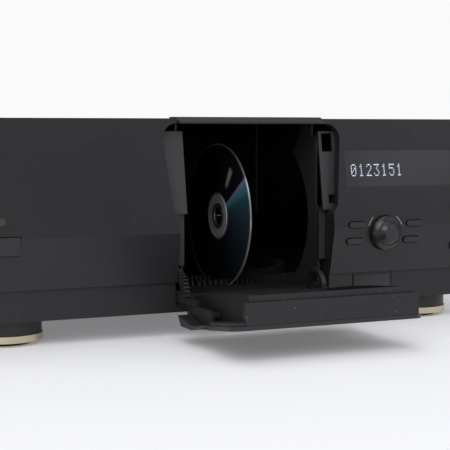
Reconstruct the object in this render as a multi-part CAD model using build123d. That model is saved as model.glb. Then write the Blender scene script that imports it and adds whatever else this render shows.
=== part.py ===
from build123d import *
import math
import os

# Hi-fi disc changer, opened at its fold-down front door, with one disc standing in a turning carousel.
# Lengths are in millimetres. X runs along the front, Y from the front to the rear and Z up from the floor.
# Sizes are written with the fascia's ridge at Y = 0, and finished pieces are moved so that the middle of
# the whole footprint, with the door open, is the origin.

# ---- case
FASCIA_WIDTH = 440.0
FASCIA_WALL = 2.5
FASCIA_BOTTOM = 42.1
RIDGE_Z = 79.5
FASCIA_TOP = 165.0
BOTTOM_LEAN = 7.5        # how far the fascia's lower edge stands behind its ridge
TOP_LEAN = 13.14         # how far its upper edge stands behind the ridge
FASCIA_BACK = 20.0
TRIM_BOTTOM = 19.1
TRIM_FRONT = 9.6
TRIM_WALL = 2.0
COVER_WIDTH = 436.0
COVER_TOP = 164.2
SHEET = 1.0
PAN_BOTTOM = 19.0
PAN_SHEET = 1.2
PAN_FLANGE = 13.0
CASE_DEPTH = 421.0
JOIN_GAP = 0.3           # between pieces of the case

# ---- loading opening
OPENING_X = 11.3
CUT_HALF = 65.8          # half width of the fascia's cut-out below its shoulder
SHOULDER_HALF = 70.2
EAR_HALF = 77.2
SHOULDER_Z = 91.0
SHOULDER_TOP = 97.0
CUT_TOP = 161.3
CUT_RADIUS = 12.0
MOUTH_X = 13.8
MOUTH_HALF = 58.6        # half width of the mouth behind the cut-out
RECESS = 8.4             # depth of the seat for the door's ears
SEAT_Y = 16.7
SEAT_WALL = 2.0
SEAT_BOTTOM = 53.4
SEAT_STEP = 93.2
SEAT_TOP = 155.3
VISOR_HALF = 62.5
VISOR_TOP = 166.2
VISOR_BOTTOM = 161.0
VISOR_BACK = 30.0
BRIDGE_Y = 17.8          # the fascia's top strip that passes through the visor

# ---- door
HINGE_Y = 14.6
HINGE_Z = 30.0
HINGE_PIN_R = 1.25
OPEN_ANGLE = 88.9
SKIN = 3.0
SKIN_BOTTOM = 53.5
SKIN_RIDGE_Y = -4.0
SKIN_TOP_Y = 5.3
DOOR_TOP = 160.2
DOOR_GAP = 0.8
CHEEK_HALF = 73.0
BOX_HALF = 58.0
LID_HALF = 68.0          # half width of the plate at the door's upper end
ARM_RADIUS = 17.0
BOX_WALL = 2.0
ARM_THICK = 4.0
SECTOR_TEETH = 42
PINION_TEETH = 10
DOOR_MODULE = 1.0
PINION_ANGLE = 66.0      # where the pinion meets the sector, about the hinge

# ---- carousel
CAROUSEL_X = 15.0
CAROUSEL_Y = 222.0
DISC_RADIUS = 60.0
DISC_THICK = 1.2
DISC_HOLE = 7.5
DISC_Z = 85.2
DISC_RING = 134.0        # from the carousel's axis to a disc's centre
DISC_TURN = 0.68         # angle of the loaded slot
SLOTS = 200
TRAY_BORE = 78.0
TRAY_FLOOR = 22.3
TRAY_THICK = 1.7
GEAR_MODULE = 1.5
RING_TEETH = 212
IDLER_TEETH = 34
DRIVE_TEETH = 16
DRIVE_ANGLE = 139.3      # direction of the drive from the carousel's axis
GEAR_THICK = 4.5
COMB_RADII = (151.2, 115.0)
COMB_HALF = 4.0
COMB_SEAT = 26.4
COMB_TOP = 34.0
SLOT_SHARE = 0.72        # share of the pitch that the slot takes
RUN_GAP = 0.05           # radial clearance of a running fit

# ---- feet
FOOT_X = 178.0
FOOT_FRONT_Y = 45.0
FOOT_REAR_Y = 372.0
FOOT_RADIUS = 28.0
RING_RADIUS = 29.0
PAD_RADIUS = 20.0
PAD_HEIGHT = 3.0
RING_HEIGHT = 5.0

# ---- controls
KEY_TRAVEL = 0.8
KEY_PROUD = 1.2
OVAL_WIDTH = 15.6
OVAL_HEIGHT = 4.6
OVAL_GAP = 0.6
OVALS = {"search_key_upper_left": (98.0, 81.0), "search_key_lower_left": (97.0, 67.8),
         "search_key_upper_right": (151.5, 80.8), "search_key_lower_right": (150.0, 67.5)}
PLAY_KEYS = {"play_key": (199.0, 92.0), "stop_key": (199.0, 78.0), "door_key": (199.0, 62.0)}
PLAY_WIDTH = 20.0
PLAY_HEIGHT = 7.0
POWER_KEY = (-194.0, 74.5)
POWER_WIDTH = 34.0
POWER_HEIGHT = 13.0
JOG_X = 124.0
JOG_Z = 74.0
JOG_RADIUS = 13.5
JOG_FACE = 5.8
JOG_PROUD = 9.0
LAMP = (-190.0, 92.0)
LAMP_RADIUS = 2.8
BOARD_Y = 24.0
BOARD_THICK = 1.6
WINDOW = (91.0, 206.0, 110.7, 140.6)


def slab(x0, x1, y0, y1, z0, z1):
    """A block between two corners."""
    return Pos((x0 + x1) / 2, (y0 + y1) / 2, (z0 + z1) / 2) * Box(x1 - x0, y1 - y0, z1 - z0)


def along_x(points, x0, x1):
    """A prism along X from an outline of (Y, Z) points."""
    face = Plane.YZ * make_face(Polyline(*points, close=True))
    return Pos(x0, 0, 0) * extrude(face, x1 - x0)


def along_y(outline, y0, y1):
    """A prism along Y from a face drawn in X and Z."""
    return Pos(0, y1, 0) * extrude(Plane.XZ * outline, y1 - y0)


def outline(points):
    """A face from a closed run of points."""
    return make_face(Polyline(*points, close=True))


def rod(radius, start, end):
    """A round bar between two points."""
    axis = Vector(*end) - Vector(*start)
    plane = Plane(origin=start, z_dir=axis)
    return extrude(plane * Circle(radius), axis.length)


def tube(outer, inner, z0, z1, x=0.0, y=0.0):
    """A ring about a vertical axis."""
    ring = extrude(Circle(outer) - Circle(inner), z1 - z0)
    return Pos(x, y, z0) * ring


def front_y(z):
    """Y of the fascia's outer face at a height."""
    if z < RIDGE_Z:
        return BOTTOM_LEAN * (RIDGE_Z - z) / (RIDGE_Z - FASCIA_BOTTOM)
    return TOP_LEAN * (z - RIDGE_Z) / (FASCIA_TOP - RIDGE_Z)


def inner_y(z):
    """Y just behind the fascia's wall at a height."""
    return front_y(z) + FASCIA_WALL + 0.05


def skin_y(z):
    """Y of the closed door's outer face at a height."""
    return SKIN_RIDGE_Y + (SKIN_TOP_Y - SKIN_RIDGE_Y) * (z - RIDGE_Z) / (DOOR_TOP - RIDGE_Z)


def open_door(shape):
    """Turns a piece of the closed door to its open place."""
    return shape.rotate(Axis((0, HINGE_Y, HINGE_Z), (1, 0, 0)), OPEN_ANGLE)


def gear_outline(module, teeth, first=0, last=None, turn=0.0, backlash=0.12):
    """Points of a spur gear, or of a run of its teeth, with straight-sided involute-like flanks."""
    last = teeth if last is None else last
    pitch = module * teeth / 2
    root = pitch - 1.25 * module
    tip = pitch + 0.95 * module
    step = 2 * math.pi / teeth
    pressure = math.radians(20)
    base = pitch * math.cos(pressure)
    at_pitch = (math.pi / 2 - backlash) / teeth

    def half(radius):
        if radius <= base:
            return at_pitch + math.tan(pressure) - pressure
        angle = math.acos(base / radius)
        return at_pitch + (math.tan(pressure) - pressure) - (math.tan(angle) - angle)

    points = []
    for tooth in range(first, last):
        middle = math.radians(turn) + tooth * step
        stations = [(root, -half(root)), (pitch, -half(pitch)), (tip, -half(tip)),
                    (tip, half(tip)), (pitch, half(pitch)), (root, half(root))]
        points += [(r * math.cos(middle + a), r * math.sin(middle + a)) for r, a in stations]
    return points


def cut_out(grow=0.0, top=CUT_TOP):
    """The fascia's cut-out for the door, grown all round, as a face in X and Z."""
    half = ((CUT_HALF, FASCIA_BOTTOM - 4), (CUT_HALF, SHOULDER_Z), (SHOULDER_HALF, SHOULDER_TOP),
            (EAR_HALF, top))
    right = [(OPENING_X + h + grow, z) for h, z in half]
    left = [(OPENING_X - h - grow, z) for h, z in half]
    right[-1] = (right[-1][0], top + grow)
    left[-1] = (left[-1][0], top + grow)
    face = outline(right + left[::-1])
    corners = face.vertices().sort_by(Axis.Y)[-2:]
    return fillet(corners, CUT_RADIUS)


def door_outline(inset=0.0):
    """The closed door's outline in X and Z, a gap inside the cut-out."""
    gap = DOOR_GAP + inset
    half = ((CUT_HALF - gap, SKIN_BOTTOM + inset), (CUT_HALF - gap, SHOULDER_TOP + 1 + inset),
            (SHOULDER_HALF - gap + 0.3, SHOULDER_TOP + 4 + inset), (EAR_HALF - gap, DOOR_TOP - inset))
    right = [(OPENING_X + h, z) for h, z in half]
    left = [(OPENING_X - h, z) for h, z in half]
    face = outline(right + left[::-1])
    corners = face.vertices().sort_by(Axis.Y)[-2:]
    return fillet(corners, CUT_RADIUS - DOOR_GAP)


def oval(width, height, x, z):
    """A face with round ends, in X and Z."""
    return Pos(x, z) * SlotOverall(width, height)


def key_hole(width, height, x, z):
    """A rectangular key's face in X and Z."""
    return Pos(x, z) * RectangleRounded(width, height, 1.2)


# ---- case pieces
def make_fascia():
    """The moulded front: a thin shell with a ridge, cut for the door, the window and the controls."""
    side = FASCIA_WIDTH / 2
    outer = along_x([(BOTTOM_LEAN, FASCIA_BOTTOM), (0, RIDGE_Z), (TOP_LEAN, FASCIA_TOP),
                     (FASCIA_BACK, FASCIA_TOP), (FASCIA_BACK, FASCIA_BOTTOM)], -side, side)
    wall = FASCIA_WALL
    hollow = along_x([(inner_y(FASCIA_BOTTOM), FASCIA_BOTTOM + wall), (inner_y(RIDGE_Z), RIDGE_Z),
                      (inner_y(FASCIA_TOP - wall), FASCIA_TOP - wall), (FASCIA_BACK + 1, FASCIA_TOP - wall),
                      (FASCIA_BACK + 1, FASCIA_BOTTOM + wall)], -side + wall, side - wall)
    shell = outer - hollow - along_y(cut_out(), -5, FASCIA_BACK + 5)
    shell -= slab(OPENING_X - VISOR_HALF - JOIN_GAP, OPENING_X + VISOR_HALF + JOIN_GAP, 0, 30,
                  CUT_TOP - CUT_RADIUS / 3, FASCIA_TOP + 1)
    shell += slab(OPENING_X - VISOR_HALF - 1, OPENING_X + VISOR_HALF + 1, BRIDGE_Y, FASCIA_BACK,
                  VISOR_BOTTOM + 0.2, FASCIA_TOP)
    for sign in (-1, 1):
        x0, x1 = sorted((OPENING_X + sign * (CUT_HALF - 1), OPENING_X + sign * (CUT_HALF + 5.6)))
        shell -= slab(x0, x1, HINGE_Y - 2.7, FASCIA_BACK + 1, FASCIA_BOTTOM - 1, FASCIA_BOTTOM + wall + 0.4)
    x0, x1, z0, z1 = WINDOW
    shell -= slab(x0, x1, -5, FASCIA_BACK - 1, z0, z1)
    holes = [oval(OVAL_WIDTH + 2 * OVAL_GAP, OVAL_HEIGHT + 2 * OVAL_GAP, x, z) for x, z in OVALS.values()]
    holes += [key_hole(PLAY_WIDTH + 2 * OVAL_GAP, PLAY_HEIGHT + 2 * OVAL_GAP, x, z)
              for x, z in PLAY_KEYS.values()]
    holes += [key_hole(POWER_WIDTH + 2 * OVAL_GAP, POWER_HEIGHT + 2 * OVAL_GAP, *POWER_KEY)]
    holes += [Pos(JOG_X, JOG_Z) * Circle(JOG_RADIUS + OVAL_GAP), Pos(*LAMP) * Circle(LAMP_RADIUS + 0.1)]
    for hole in holes:
        shell -= along_y(hole, -8, FASCIA_BACK - 1)
    return shell


def make_trim():
    """The strip below the fascia, open behind the door, with two shallow grooves at its plate."""
    half = FASCIA_WIDTH / 2 - 1
    top = FASCIA_BOTTOM - JOIN_GAP
    strip = slab(-half, half, TRIM_FRONT, TRIM_FRONT + TRIM_WALL, TRIM_BOTTOM, top)
    strip += slab(-half, -half + TRIM_WALL, TRIM_FRONT, FASCIA_BACK, TRIM_BOTTOM, top)
    strip += slab(half - TRIM_WALL, half, TRIM_FRONT, FASCIA_BACK, TRIM_BOTTOM, top)
    strip -= slab(OPENING_X - CUT_HALF - 0.5, OPENING_X + CUT_HALF + 0.5, TRIM_FRONT - 1, FASCIA_BACK,
                  PAN_BOTTOM + 2.6, top + 1)
    for x in (99.4, 135.6):
        strip -= slab(x - 0.4, x + 0.4, TRIM_FRONT - 1, TRIM_FRONT + 0.6, TRIM_BOTTOM - 1, top + 1)
    return strip


def make_pan():
    """The folded steel pan that carries everything, with a slot under the door's gear."""
    half = COVER_WIDTH / 2 - SHEET - JOIN_GAP
    front = TRIM_FRONT + TRIM_WALL + JOIN_GAP
    floor = slab(-half, half, front, CASE_DEPTH, PAN_BOTTOM, PAN_BOTTOM + PAN_SHEET)
    for side in (-1, 1):
        flange = slab(half - PAN_SHEET, half, FASCIA_BACK + 2, CASE_DEPTH, PAN_BOTTOM, PAN_BOTTOM + PAN_FLANGE)
        floor += flange if side > 0 else mirror(flange, Plane.YZ)
    floor += make_idler_pin()
    for x0, x1 in ((SECTOR_X - 0.6, OPENING_X - MOUTH_HALF), (ARM_X - 0.6, ARM_X + ARM_THICK + 0.6)):
        floor -= slab(x0, x1, HINGE_Y + 8, HINGE_Y + 24, PAN_BOTTOM - 1, PAN_BOTTOM + 5)
    return floor


def make_cover():
    """The folded steel top and sides, notched round the visor."""
    half = COVER_WIDTH / 2
    front = FASCIA_BACK + 0.5
    end = CASE_DEPTH + PAN_SHEET
    cover = slab(-half, half, front, end, PAN_BOTTOM + 0.5, COVER_TOP)
    cover -= slab(-half + SHEET, half - SHEET, front - 1, end + 1, PAN_BOTTOM - 1, COVER_TOP - SHEET)
    cover -= slab(OPENING_X - VISOR_HALF - 0.5, OPENING_X + VISOR_HALF + 0.5, front - 1, VISOR_BACK + 0.5,
                  COVER_TOP - 5, COVER_TOP + 1)
    for row in range(9):
        for column in range(6):
            x = 108 + column * 17
            y = 255 + row * 14
            cover -= slab(x, x + 11, y, y + 3, COVER_TOP - 2, COVER_TOP + 1)
    return cover


def make_screws():
    """Cover screws: two at each side and three across the rear."""
    side = COVER_WIDTH / 2
    screws = []
    for y in (110.0, 330.0):
        for sign in (-1, 1):
            start = side + 0.02
            screws.append(rod(3.4, (sign * start, y, 28.0), (sign * (start + 1.7), y, 28.0)))
    rear = CASE_DEPTH + PAN_SHEET + 0.02
    for x in (-190.0, 0.0, 190.0):
        screws.append(rod(3.0, (x, rear, 152.0), (x, rear + 1.7, 152.0)))
    return screws


def make_rear_panel():
    """The rear sheet with holes for the sockets and the inlet."""
    half = COVER_WIDTH / 2 - SHEET - JOIN_GAP
    y0 = CASE_DEPTH + 0.02
    panel = slab(-half, half, y0, y0 + PAN_SHEET - 0.04, PAN_BOTTOM, COVER_TOP - SHEET - JOIN_GAP)
    for x, z in JACKS:
        panel -= rod(JACK_BODY + 0.3, (x, y0 - 2, z), (x, y0 + 4, z))
    return panel - slab(INLET_X - 14.3, INLET_X + 14.3, y0 - 2, y0 + 4, INLET_Z - 10.3, INLET_Z + 10.3)


JACKS = ((-196.0, 62.0), (-196.0, 46.0), (-178.0, 62.0), (-178.0, 46.0))
JACK_BODY = 5.0
JACK_RADIUS = 4.1
JACK_LENGTH = 8.0
INLET_X = 182.0
INLET_Z = 50.0


def make_jacks():
    """Four phono sockets, each with a collar behind the panel and a barrel out of it."""
    y0 = CASE_DEPTH
    jacks = []
    for x, z in JACKS:
        body = slab(x - 7, x + 7, y0 - 12, y0 - 0.3, z - 7, z + 7) + rod(JACK_BODY, (x, y0 - 1, z), (x, y0 + 2.4, z))
        body += rod(JACK_RADIUS, (x, y0 + 2, z), (x, y0 + JACK_LENGTH, z))
        jacks.append(body - rod(1.7, (x, y0 - 4, z), (x, y0 + JACK_LENGTH + 1, z)))
    return jacks


def make_inlet():
    """The two-pole mains inlet, with its pins inside."""
    y0 = CASE_DEPTH
    x, z = INLET_X, INLET_Z
    body = slab(x - 14, x + 14, y0 - 18, y0 + 3, z - 10, z + 10)
    body -= along_y(oval(15.4, 8.4, x, z), y0 - 12, y0 + 4)
    for side in (-4.3, 4.3):
        body += rod(1.2, (x + side, y0 - 13, z), (x + side, y0 + 1, z))
    return body


def make_feet():
    """Foot bodies, trim rings and soft pads, four of each."""
    bodies, rings, pads = [], [], []
    ring_top = PAD_HEIGHT + RING_HEIGHT
    for x in (-FOOT_X, FOOT_X):
        for y in (FOOT_FRONT_Y, FOOT_REAR_Y):
            bodies.append(Pos(x, y, ring_top + 0.05) * extrude(Circle(FOOT_RADIUS), PAN_BOTTOM - ring_top - 0.1))
            rings.append(tube(RING_RADIUS, PAD_RADIUS - 6, PAD_HEIGHT, ring_top, x, y))
            pads.append(Pos(x, y, 0) * extrude(Circle(PAD_RADIUS), PAD_HEIGHT - 0.05))
    return bodies, rings, pads


# ---- loading opening
def make_door_frame():
    """The frame behind the cut-out: its side walls, the seat of the door's ears, and the hinge ears."""
    back = 23.0
    low, high = FASCIA_BOTTOM + 3, FASCIA_TOP - 3.2
    behind = along_x([(inner_y(low) + 0.3, low), (inner_y(RIDGE_Z) + 0.3, RIDGE_Z),
                      (inner_y(high) + 0.3, high), (back, high), (back, low)], -120, 140)
    ring = along_y(cut_out(2.2) - cut_out(0.4), 0, back) & behind
    ring -= slab(-120, 140, -1, 40, low - 5, SEAT_BOTTOM)
    seat = [(SEAT_Y, SEAT_BOTTOM), (SEAT_Y, SEAT_STEP), (front_y(SEAT_STEP) + RECESS, SEAT_STEP),
            (front_y(SEAT_TOP) + RECESS, SEAT_TOP), (front_y(SEAT_TOP) + RECESS + SEAT_WALL, SEAT_TOP),
            (front_y(SEAT_STEP + 2) + RECESS + SEAT_WALL, SEAT_STEP + 2), (SEAT_Y + SEAT_WALL, SEAT_STEP + 2),
            (SEAT_Y + SEAT_WALL, SEAT_BOTTOM)]
    flange = (along_x(seat, -120, 140) & along_y(cut_out(1.2), 0, back))
    frame = ring + flange
    frame -= slab(MOUTH_X - MOUTH_HALF, MOUTH_X + MOUTH_HALF, -5, 60, 30, 170)
    frame -= slab(OPENING_X - CUT_HALF, OPENING_X + CUT_HALF, SEAT_Y - 4, VISOR_BACK + 3, SEAT_TOP - 0.01, VISOR_BOTTOM)
    frame += slab(OPENING_X - CUT_HALF - 2, OPENING_X + CUT_HALF + 2, HINGE_Y - 2.3, FASCIA_BACK - 1.4,
                  PAN_BOTTOM + PAN_SHEET, PAN_BOTTOM + PAN_SHEET + 2.6)
    right = OPENING_X + EAR_HALF - 2
    frame -= slab(right - 11.4, right - 2.2, 10, 30, 139, 153.5)
    frame -= slab(right - 8.2, right - 2.8, 8, 30, 98, 105)
    for sign in (-1, 1):
        x0 = OPENING_X + sign * (CUT_HALF + 1.2)
        x1 = x0 + sign * 4
        ear = slab(min(x0, x1), max(x0, x1), HINGE_Y - 2.3, FASCIA_BACK + 3, PAN_BOTTOM + PAN_SHEET, SEAT_BOTTOM + 3)
        frame += ear - rod(HINGE_PIN_R + RUN_GAP, (x0 - 9, HINGE_Y, HINGE_Z), (x0 + 9, HINGE_Y, HINGE_Z))
    return frame


def make_visor():
    """The hood over the opening, with a channel for the fascia's top strip."""
    x0, x1 = OPENING_X - VISOR_HALF, OPENING_X + VISOR_HALF
    hood = along_x([(9.6, VISOR_BOTTOM), (9.2, VISOR_BOTTOM + 1.2), (18.4, VISOR_TOP), (VISOR_BACK, VISOR_TOP),
                    (VISOR_BACK, VISOR_BOTTOM)], x0, x1)
    edges = hood.edges().filter_by(Axis.X).sort_by(Axis.Z)[-2:]
    channel = slab(x0 - 1, x1 + 1, BRIDGE_Y - JOIN_GAP, FASCIA_BACK + JOIN_GAP, VISOR_BOTTOM - 1,
                   FASCIA_TOP + JOIN_GAP)
    return fillet(edges, 1.0) - channel


def make_liner_wall(sign):
    """One side wall of the disc space, its rear edge an arc round the discs' path."""
    inner = MOUTH_X + sign * MOUTH_HALF
    outer = inner + sign * 1.8
    front = SEAT_Y + SEAT_WALL + JOIN_GAP
    plate = along_x([(front, PAN_BOTTOM + PAN_SHEET + 0.1), (62.0, PAN_BOTTOM + PAN_SHEET + 0.1), (70.0, 40.0),
                     (66.0, 131.0), (46.3, VISOR_BOTTOM - 0.4), (front + 12, VISOR_BOTTOM - 0.4), (front + 12, 152.0),
                     (front + 4.5, 152.0), (front + 4.5, SEAT_STEP + 4), (front, SEAT_STEP - 2)],
                    min(inner, outer), max(inner, outer))
    return plate - rod(61.5, (inner - 9, 97.0, DISC_Z), (inner + 9, 97.0, DISC_Z))


def make_sill():
    """The floor plate in front of the carousel, with its lip."""
    x0, x1 = MOUTH_X - MOUTH_HALF + JOIN_GAP, MOUTH_X + MOUTH_HALF - JOIN_GAP
    base = PAN_BOTTOM + PAN_SHEET + 0.05
    sill = slab(x0, x1, 20.5, 80.0, 29.0, 31.0) + slab(x0, x1, 20.5, 22.5, base, 31.0)
    sill += slab(x0, x1, 44.0, 46.0, base, 29.5)
    sill -= slab(ARM_X - 0.6, x1 + 1, 19, HINGE_Y + ARM_RADIUS + 2, PAN_BOTTOM, 33)
    return sill - Pos(CAROUSEL_X, CAROUSEL_Y, PAN_BOTTOM) * extrude(Circle(163.5), 22)


# ---- door
def make_door_cover():
    """The door's outer skin with its ridge, its rounded ears and the two lower cheeks."""
    face = along_x([(skin_y(DOOR_TOP), DOOR_TOP), (SKIN_RIDGE_Y, RIDGE_Z), (SKIN_RIDGE_Y + 0.7, 60.3),
                    (front_y(54.5) - 0.8, 54.5), (front_y(54.5) + 1.2, SKIN_BOTTOM), (front_y(54.5) + 2.2, 56.5),
                    (SKIN_RIDGE_Y + SKIN + 0.4, 61.5), (SKIN_RIDGE_Y + SKIN, RIDGE_Z),
                    (skin_y(DOOR_TOP) + SKIN, DOOR_TOP)], -120, 140)
    skin = face & along_y(door_outline(), -20, 40)
    back = 0.7
    cheek = [(front_y(55) - back, 55.0), (SKIN_RIDGE_Y + 0.7, 60.3), (SKIN_RIDGE_Y, RIDGE_Z),
             (front_y(98) - back - 0.6, 98.0), (-back, RIDGE_Z), (front_y(60.3) - back, 60.3)]
    for sign in (-1, 1):
        x0 = OPENING_X + sign * (CUT_HALF - DOOR_GAP - 1)
        x1 = OPENING_X + sign * CHEEK_HALF
        skin += along_x(cheek, min(x0, x1), max(x0, x1))
    return open_door(skin)


def box_side(middle, half, rear):
    """A pair of walls across the door box, given their middle, half width and an outline in Y and Z."""
    walls = along_x(rear, middle - half, middle - half + BOX_WALL)
    return walls + along_x(rear, middle + half - BOX_WALL, middle + half)


def make_door_box():
    """The door's inner box: a backing behind the skin, side walls, a top plate with a lip, and ribs."""
    start = SKIN + 0.1
    deep = start + 2.5
    backing = along_x([(skin_y(DOOR_TOP - 1) + start, DOOR_TOP - 1), (SKIN_RIDGE_Y + start, RIDGE_Z),
                       (SKIN_RIDGE_Y + start + 0.4, 62.0), (front_y(54.5) + 2.9, 57.0), (front_y(54.5) + 4.2, 57.0),
                       (SKIN_RIDGE_Y + deep + 0.4, 63.0), (SKIN_RIDGE_Y + deep, RIDGE_Z),
                       (skin_y(DOOR_TOP - 1) + deep, DOOR_TOP - 1)], -120, 140)
    box = backing & along_y(door_outline(1.0), -20, 40)
    shallow = CUT_HALF - DOOR_GAP - 1.2
    box += box_side(OPENING_X, shallow, [(11.0, 49.0), (11.0, 90.0), (10.0, 93.0), (10.0, 95.5), (SKIN_RIDGE_Y + deep, 95.5), (SKIN_RIDGE_Y + start, RIDGE_Z),
                              (SKIN_RIDGE_Y + start + 0.5, 62.0), (front_y(54.5) + 3.0, 56.0), (9.0, 49.0)])
    box += box_side(MOUTH_X, BOX_HALF, [(16.5, 46.0), (21.8, 84.0), (24.5, 109.4), (27.2, 143.0), (28.2, 156.5),
                               (skin_y(156.5) + start + 1, 156.5), (SKIN_RIDGE_Y + start + 1, RIDGE_Z),
                               (SKIN_RIDGE_Y + start + 1.5, 62.0), (front_y(54.5) + 3.0, 57.0), (9.2, 49.0),
                               (9.2, 46.0)])
    x0, x1 = OPENING_X - shallow, OPENING_X + shallow
    box += slab(x0, x1, 8.0, 11.0, 49.0, 51.0)
    box += slab(MOUTH_X - BOX_HALF, MOUTH_X + BOX_HALF, 9.2, 16.5, 46.0, 48.0)
    rear = 28.4
    front = skin_y(DOOR_TOP - 4) + start
    top = along_x([(front, DOOR_TOP - 4.4), (front + 0.6, DOOR_TOP), (rear - 4.4, DOOR_TOP), (rear - 4.4, DOOR_TOP - 4.4)],
                  OPENING_X - LID_HALF, OPENING_X + LID_HALF)
    box += top + slab(OPENING_X - LID_HALF + 3.3, OPENING_X + LID_HALF - 3.3, rear - 5, rear, DOOR_TOP - 4.4, DOOR_TOP - 2.4)
    box += slab(x0, x0 + 7.2, 7.0, 10.0, 93.5, 95.5) + slab(x1 - 7.2, x1, 7.0, 10.0, 93.5, 95.5)
    for z in (70.0, 88.0, 106.0, 124.0, 142.0):
        y0 = skin_y(z) + deep - 0.6
        box += slab(MOUTH_X - BOX_HALF + 1, MOUTH_X + BOX_HALF - 1, y0, y0 + 4.0, z - 0.8, z + 0.8)
    for x in (-30.0, 0.0, 30.0):
        box += along_x([(skin_y(66) + deep - 0.4, 66.0), (skin_y(66) + deep + 3, 66.0), (skin_y(148) + deep + 3, 148.0),
                        (skin_y(148) + deep - 0.4, 148.0)], OPENING_X + x - 0.8, OPENING_X + x + 0.8)
    return open_door(box)


def arm_plate(x0, points):
    """A hinge arm's plate: an outline about the hinge, at the door's open place."""
    plate = Plane.YZ * outline(points)
    return Pos(x0, HINGE_Y, HINGE_Z) * extrude(plate, ARM_THICK)


SECTOR_X = OPENING_X - CUT_HALF + 0.7
ARM_X = MOUTH_X + MOUTH_HALF - 3.2 - ARM_THICK


def make_gear_sector():
    """The toothed quarter ring at the door's left, with its hub and the foot on the door box."""
    step = 360.0 / SECTOR_TEETH
    first = 7
    teeth = gear_outline(DOOR_MODULE, SECTOR_TEETH, first, 22)
    start = first * step
    end = 21 * step
    inner = 14.0
    inside = [(inner * math.cos(math.radians(a)), inner * math.sin(math.radians(a)))
              for a in [end + 2 - i * (end - start + 4) / 12 for i in range(13)]]
    sector = arm_plate(SECTOR_X, teeth + inside)
    spoke = arm_plate(SECTOR_X, [(-2, -3.4), (-19, -2.6), (-18.6, 4), (-2, 4)])
    hub = rod(5.0, (SECTOR_X, HINGE_Y, HINGE_Z), (SECTOR_X + ARM_THICK, HINGE_Y, HINGE_Z))
    foot = slab(SECTOR_X, SECTOR_X + ARM_THICK, HINGE_Y - 37, HINGE_Y - 17.5, HINGE_Z - 2.6, HINGE_Z + 1.4)
    sector = sector + spoke + hub + foot
    return sector - rod(HINGE_PIN_R + 0.02, (SECTOR_X - 9, HINGE_Y, HINGE_Z), (SECTOR_X + 9, HINGE_Y, HINGE_Z))


def make_door_arm():
    """The curved arm at the door's right, with its hub and foot."""
    outer, inner = ARM_RADIUS, ARM_RADIUS - 3.4
    span = [50 + i * 10.0 for i in range(12)]
    points = [(outer * math.cos(math.radians(a)), outer * math.sin(math.radians(a))) for a in span]
    points += [(inner * math.cos(math.radians(a)), inner * math.sin(math.radians(a))) for a in span[::-1]]
    arm = arm_plate(ARM_X, points)
    arm += arm_plate(ARM_X, [(-2, -3.4), (-15.6, -4.6), (-15.6, 6.0), (-12.6, 6.0), (-2, 4)])
    arm += rod(5.0, (ARM_X, HINGE_Y, HINGE_Z), (ARM_X + ARM_THICK, HINGE_Y, HINGE_Z))
    return arm - rod(HINGE_PIN_R + 0.02, (ARM_X - 9, HINGE_Y, HINGE_Z), (ARM_X + 9, HINGE_Y, HINGE_Z))


def make_hinge_pins():
    """The two steel pins that the door turns on."""
    reach = CUT_HALF + 6.4
    return [rod(HINGE_PIN_R, (OPENING_X - reach, HINGE_Y, HINGE_Z), (SECTOR_X + ARM_THICK, HINGE_Y, HINGE_Z)),
            rod(HINGE_PIN_R, (ARM_X, HINGE_Y, HINGE_Z), (OPENING_X + reach, HINGE_Y, HINGE_Z))]


PINION_CENTRE = DOOR_MODULE * (SECTOR_TEETH + PINION_TEETH) / 2
PINION_Y = HINGE_Y + PINION_CENTRE * math.cos(math.radians(PINION_ANGLE))
PINION_Z = HINGE_Z + PINION_CENTRE * math.sin(math.radians(PINION_ANGLE))


def make_pinion():
    """The small gear that drives the door, with its shaft."""
    step = 360.0 / PINION_TEETH
    sector_step = 360.0 / SECTOR_TEETH
    offset = PINION_ANGLE / sector_step % 1.0
    turn = PINION_ANGLE + 180 + (0.5 + offset) * step
    gear = outline(gear_outline(DOOR_MODULE, PINION_TEETH, turn=turn, backlash=0.25))
    wheel = Pos(SECTOR_X, PINION_Y, PINION_Z) * extrude(Plane.YZ * gear, ARM_THICK)
    return wheel + rod(1.5, (SECTOR_X - 9, PINION_Y, PINION_Z), (SECTOR_X + 1, PINION_Y, PINION_Z))


def make_door_motor():
    """The geared motor beside the opening, bored for the pinion's shaft, on a foot plate."""
    x1 = OPENING_X - CUT_HALF - 6.8
    body = slab(x1 - 26, x1, PINION_Y - 7, PINION_Y + 12, PINION_Z - 8, PINION_Z + 12)
    body += rod(8.0, (x1 - 50, PINION_Y + 3, PINION_Z + 2), (x1 - 25, PINION_Y + 3, PINION_Z + 2))
    body += slab(x1 - 26, x1 - 23, FASCIA_BACK + 0.6, PINION_Y + 12, PAN_BOTTOM + PAN_SHEET + 0.05, PINION_Z)
    return body - rod(1.5 + RUN_GAP, (x1 - 6, PINION_Y, PINION_Z), (x1 + 2, PINION_Y, PINION_Z))


# ---- carousel
def make_tray():
    """The carousel's ring floor with gear teeth round it and a bore that runs on the tower's collar."""
    ring = outline(gear_outline(GEAR_MODULE, RING_TEETH, backlash=0.2))
    rim = extrude(ring, GEAR_THICK) - extrude(Circle(RING_TEETH * GEAR_MODULE / 2 - 3.6), GEAR_THICK)
    floor = extrude(Circle(RING_TEETH * GEAR_MODULE / 2 - 3) - Circle(TRAY_BORE), TRAY_THICK)
    collar = extrude(Circle(TRAY_BORE + 3) - Circle(TRAY_BORE), 4.0)
    return Pos(CAROUSEL_X, CAROUSEL_Y, TRAY_FLOOR) * (rim + floor + collar)


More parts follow.
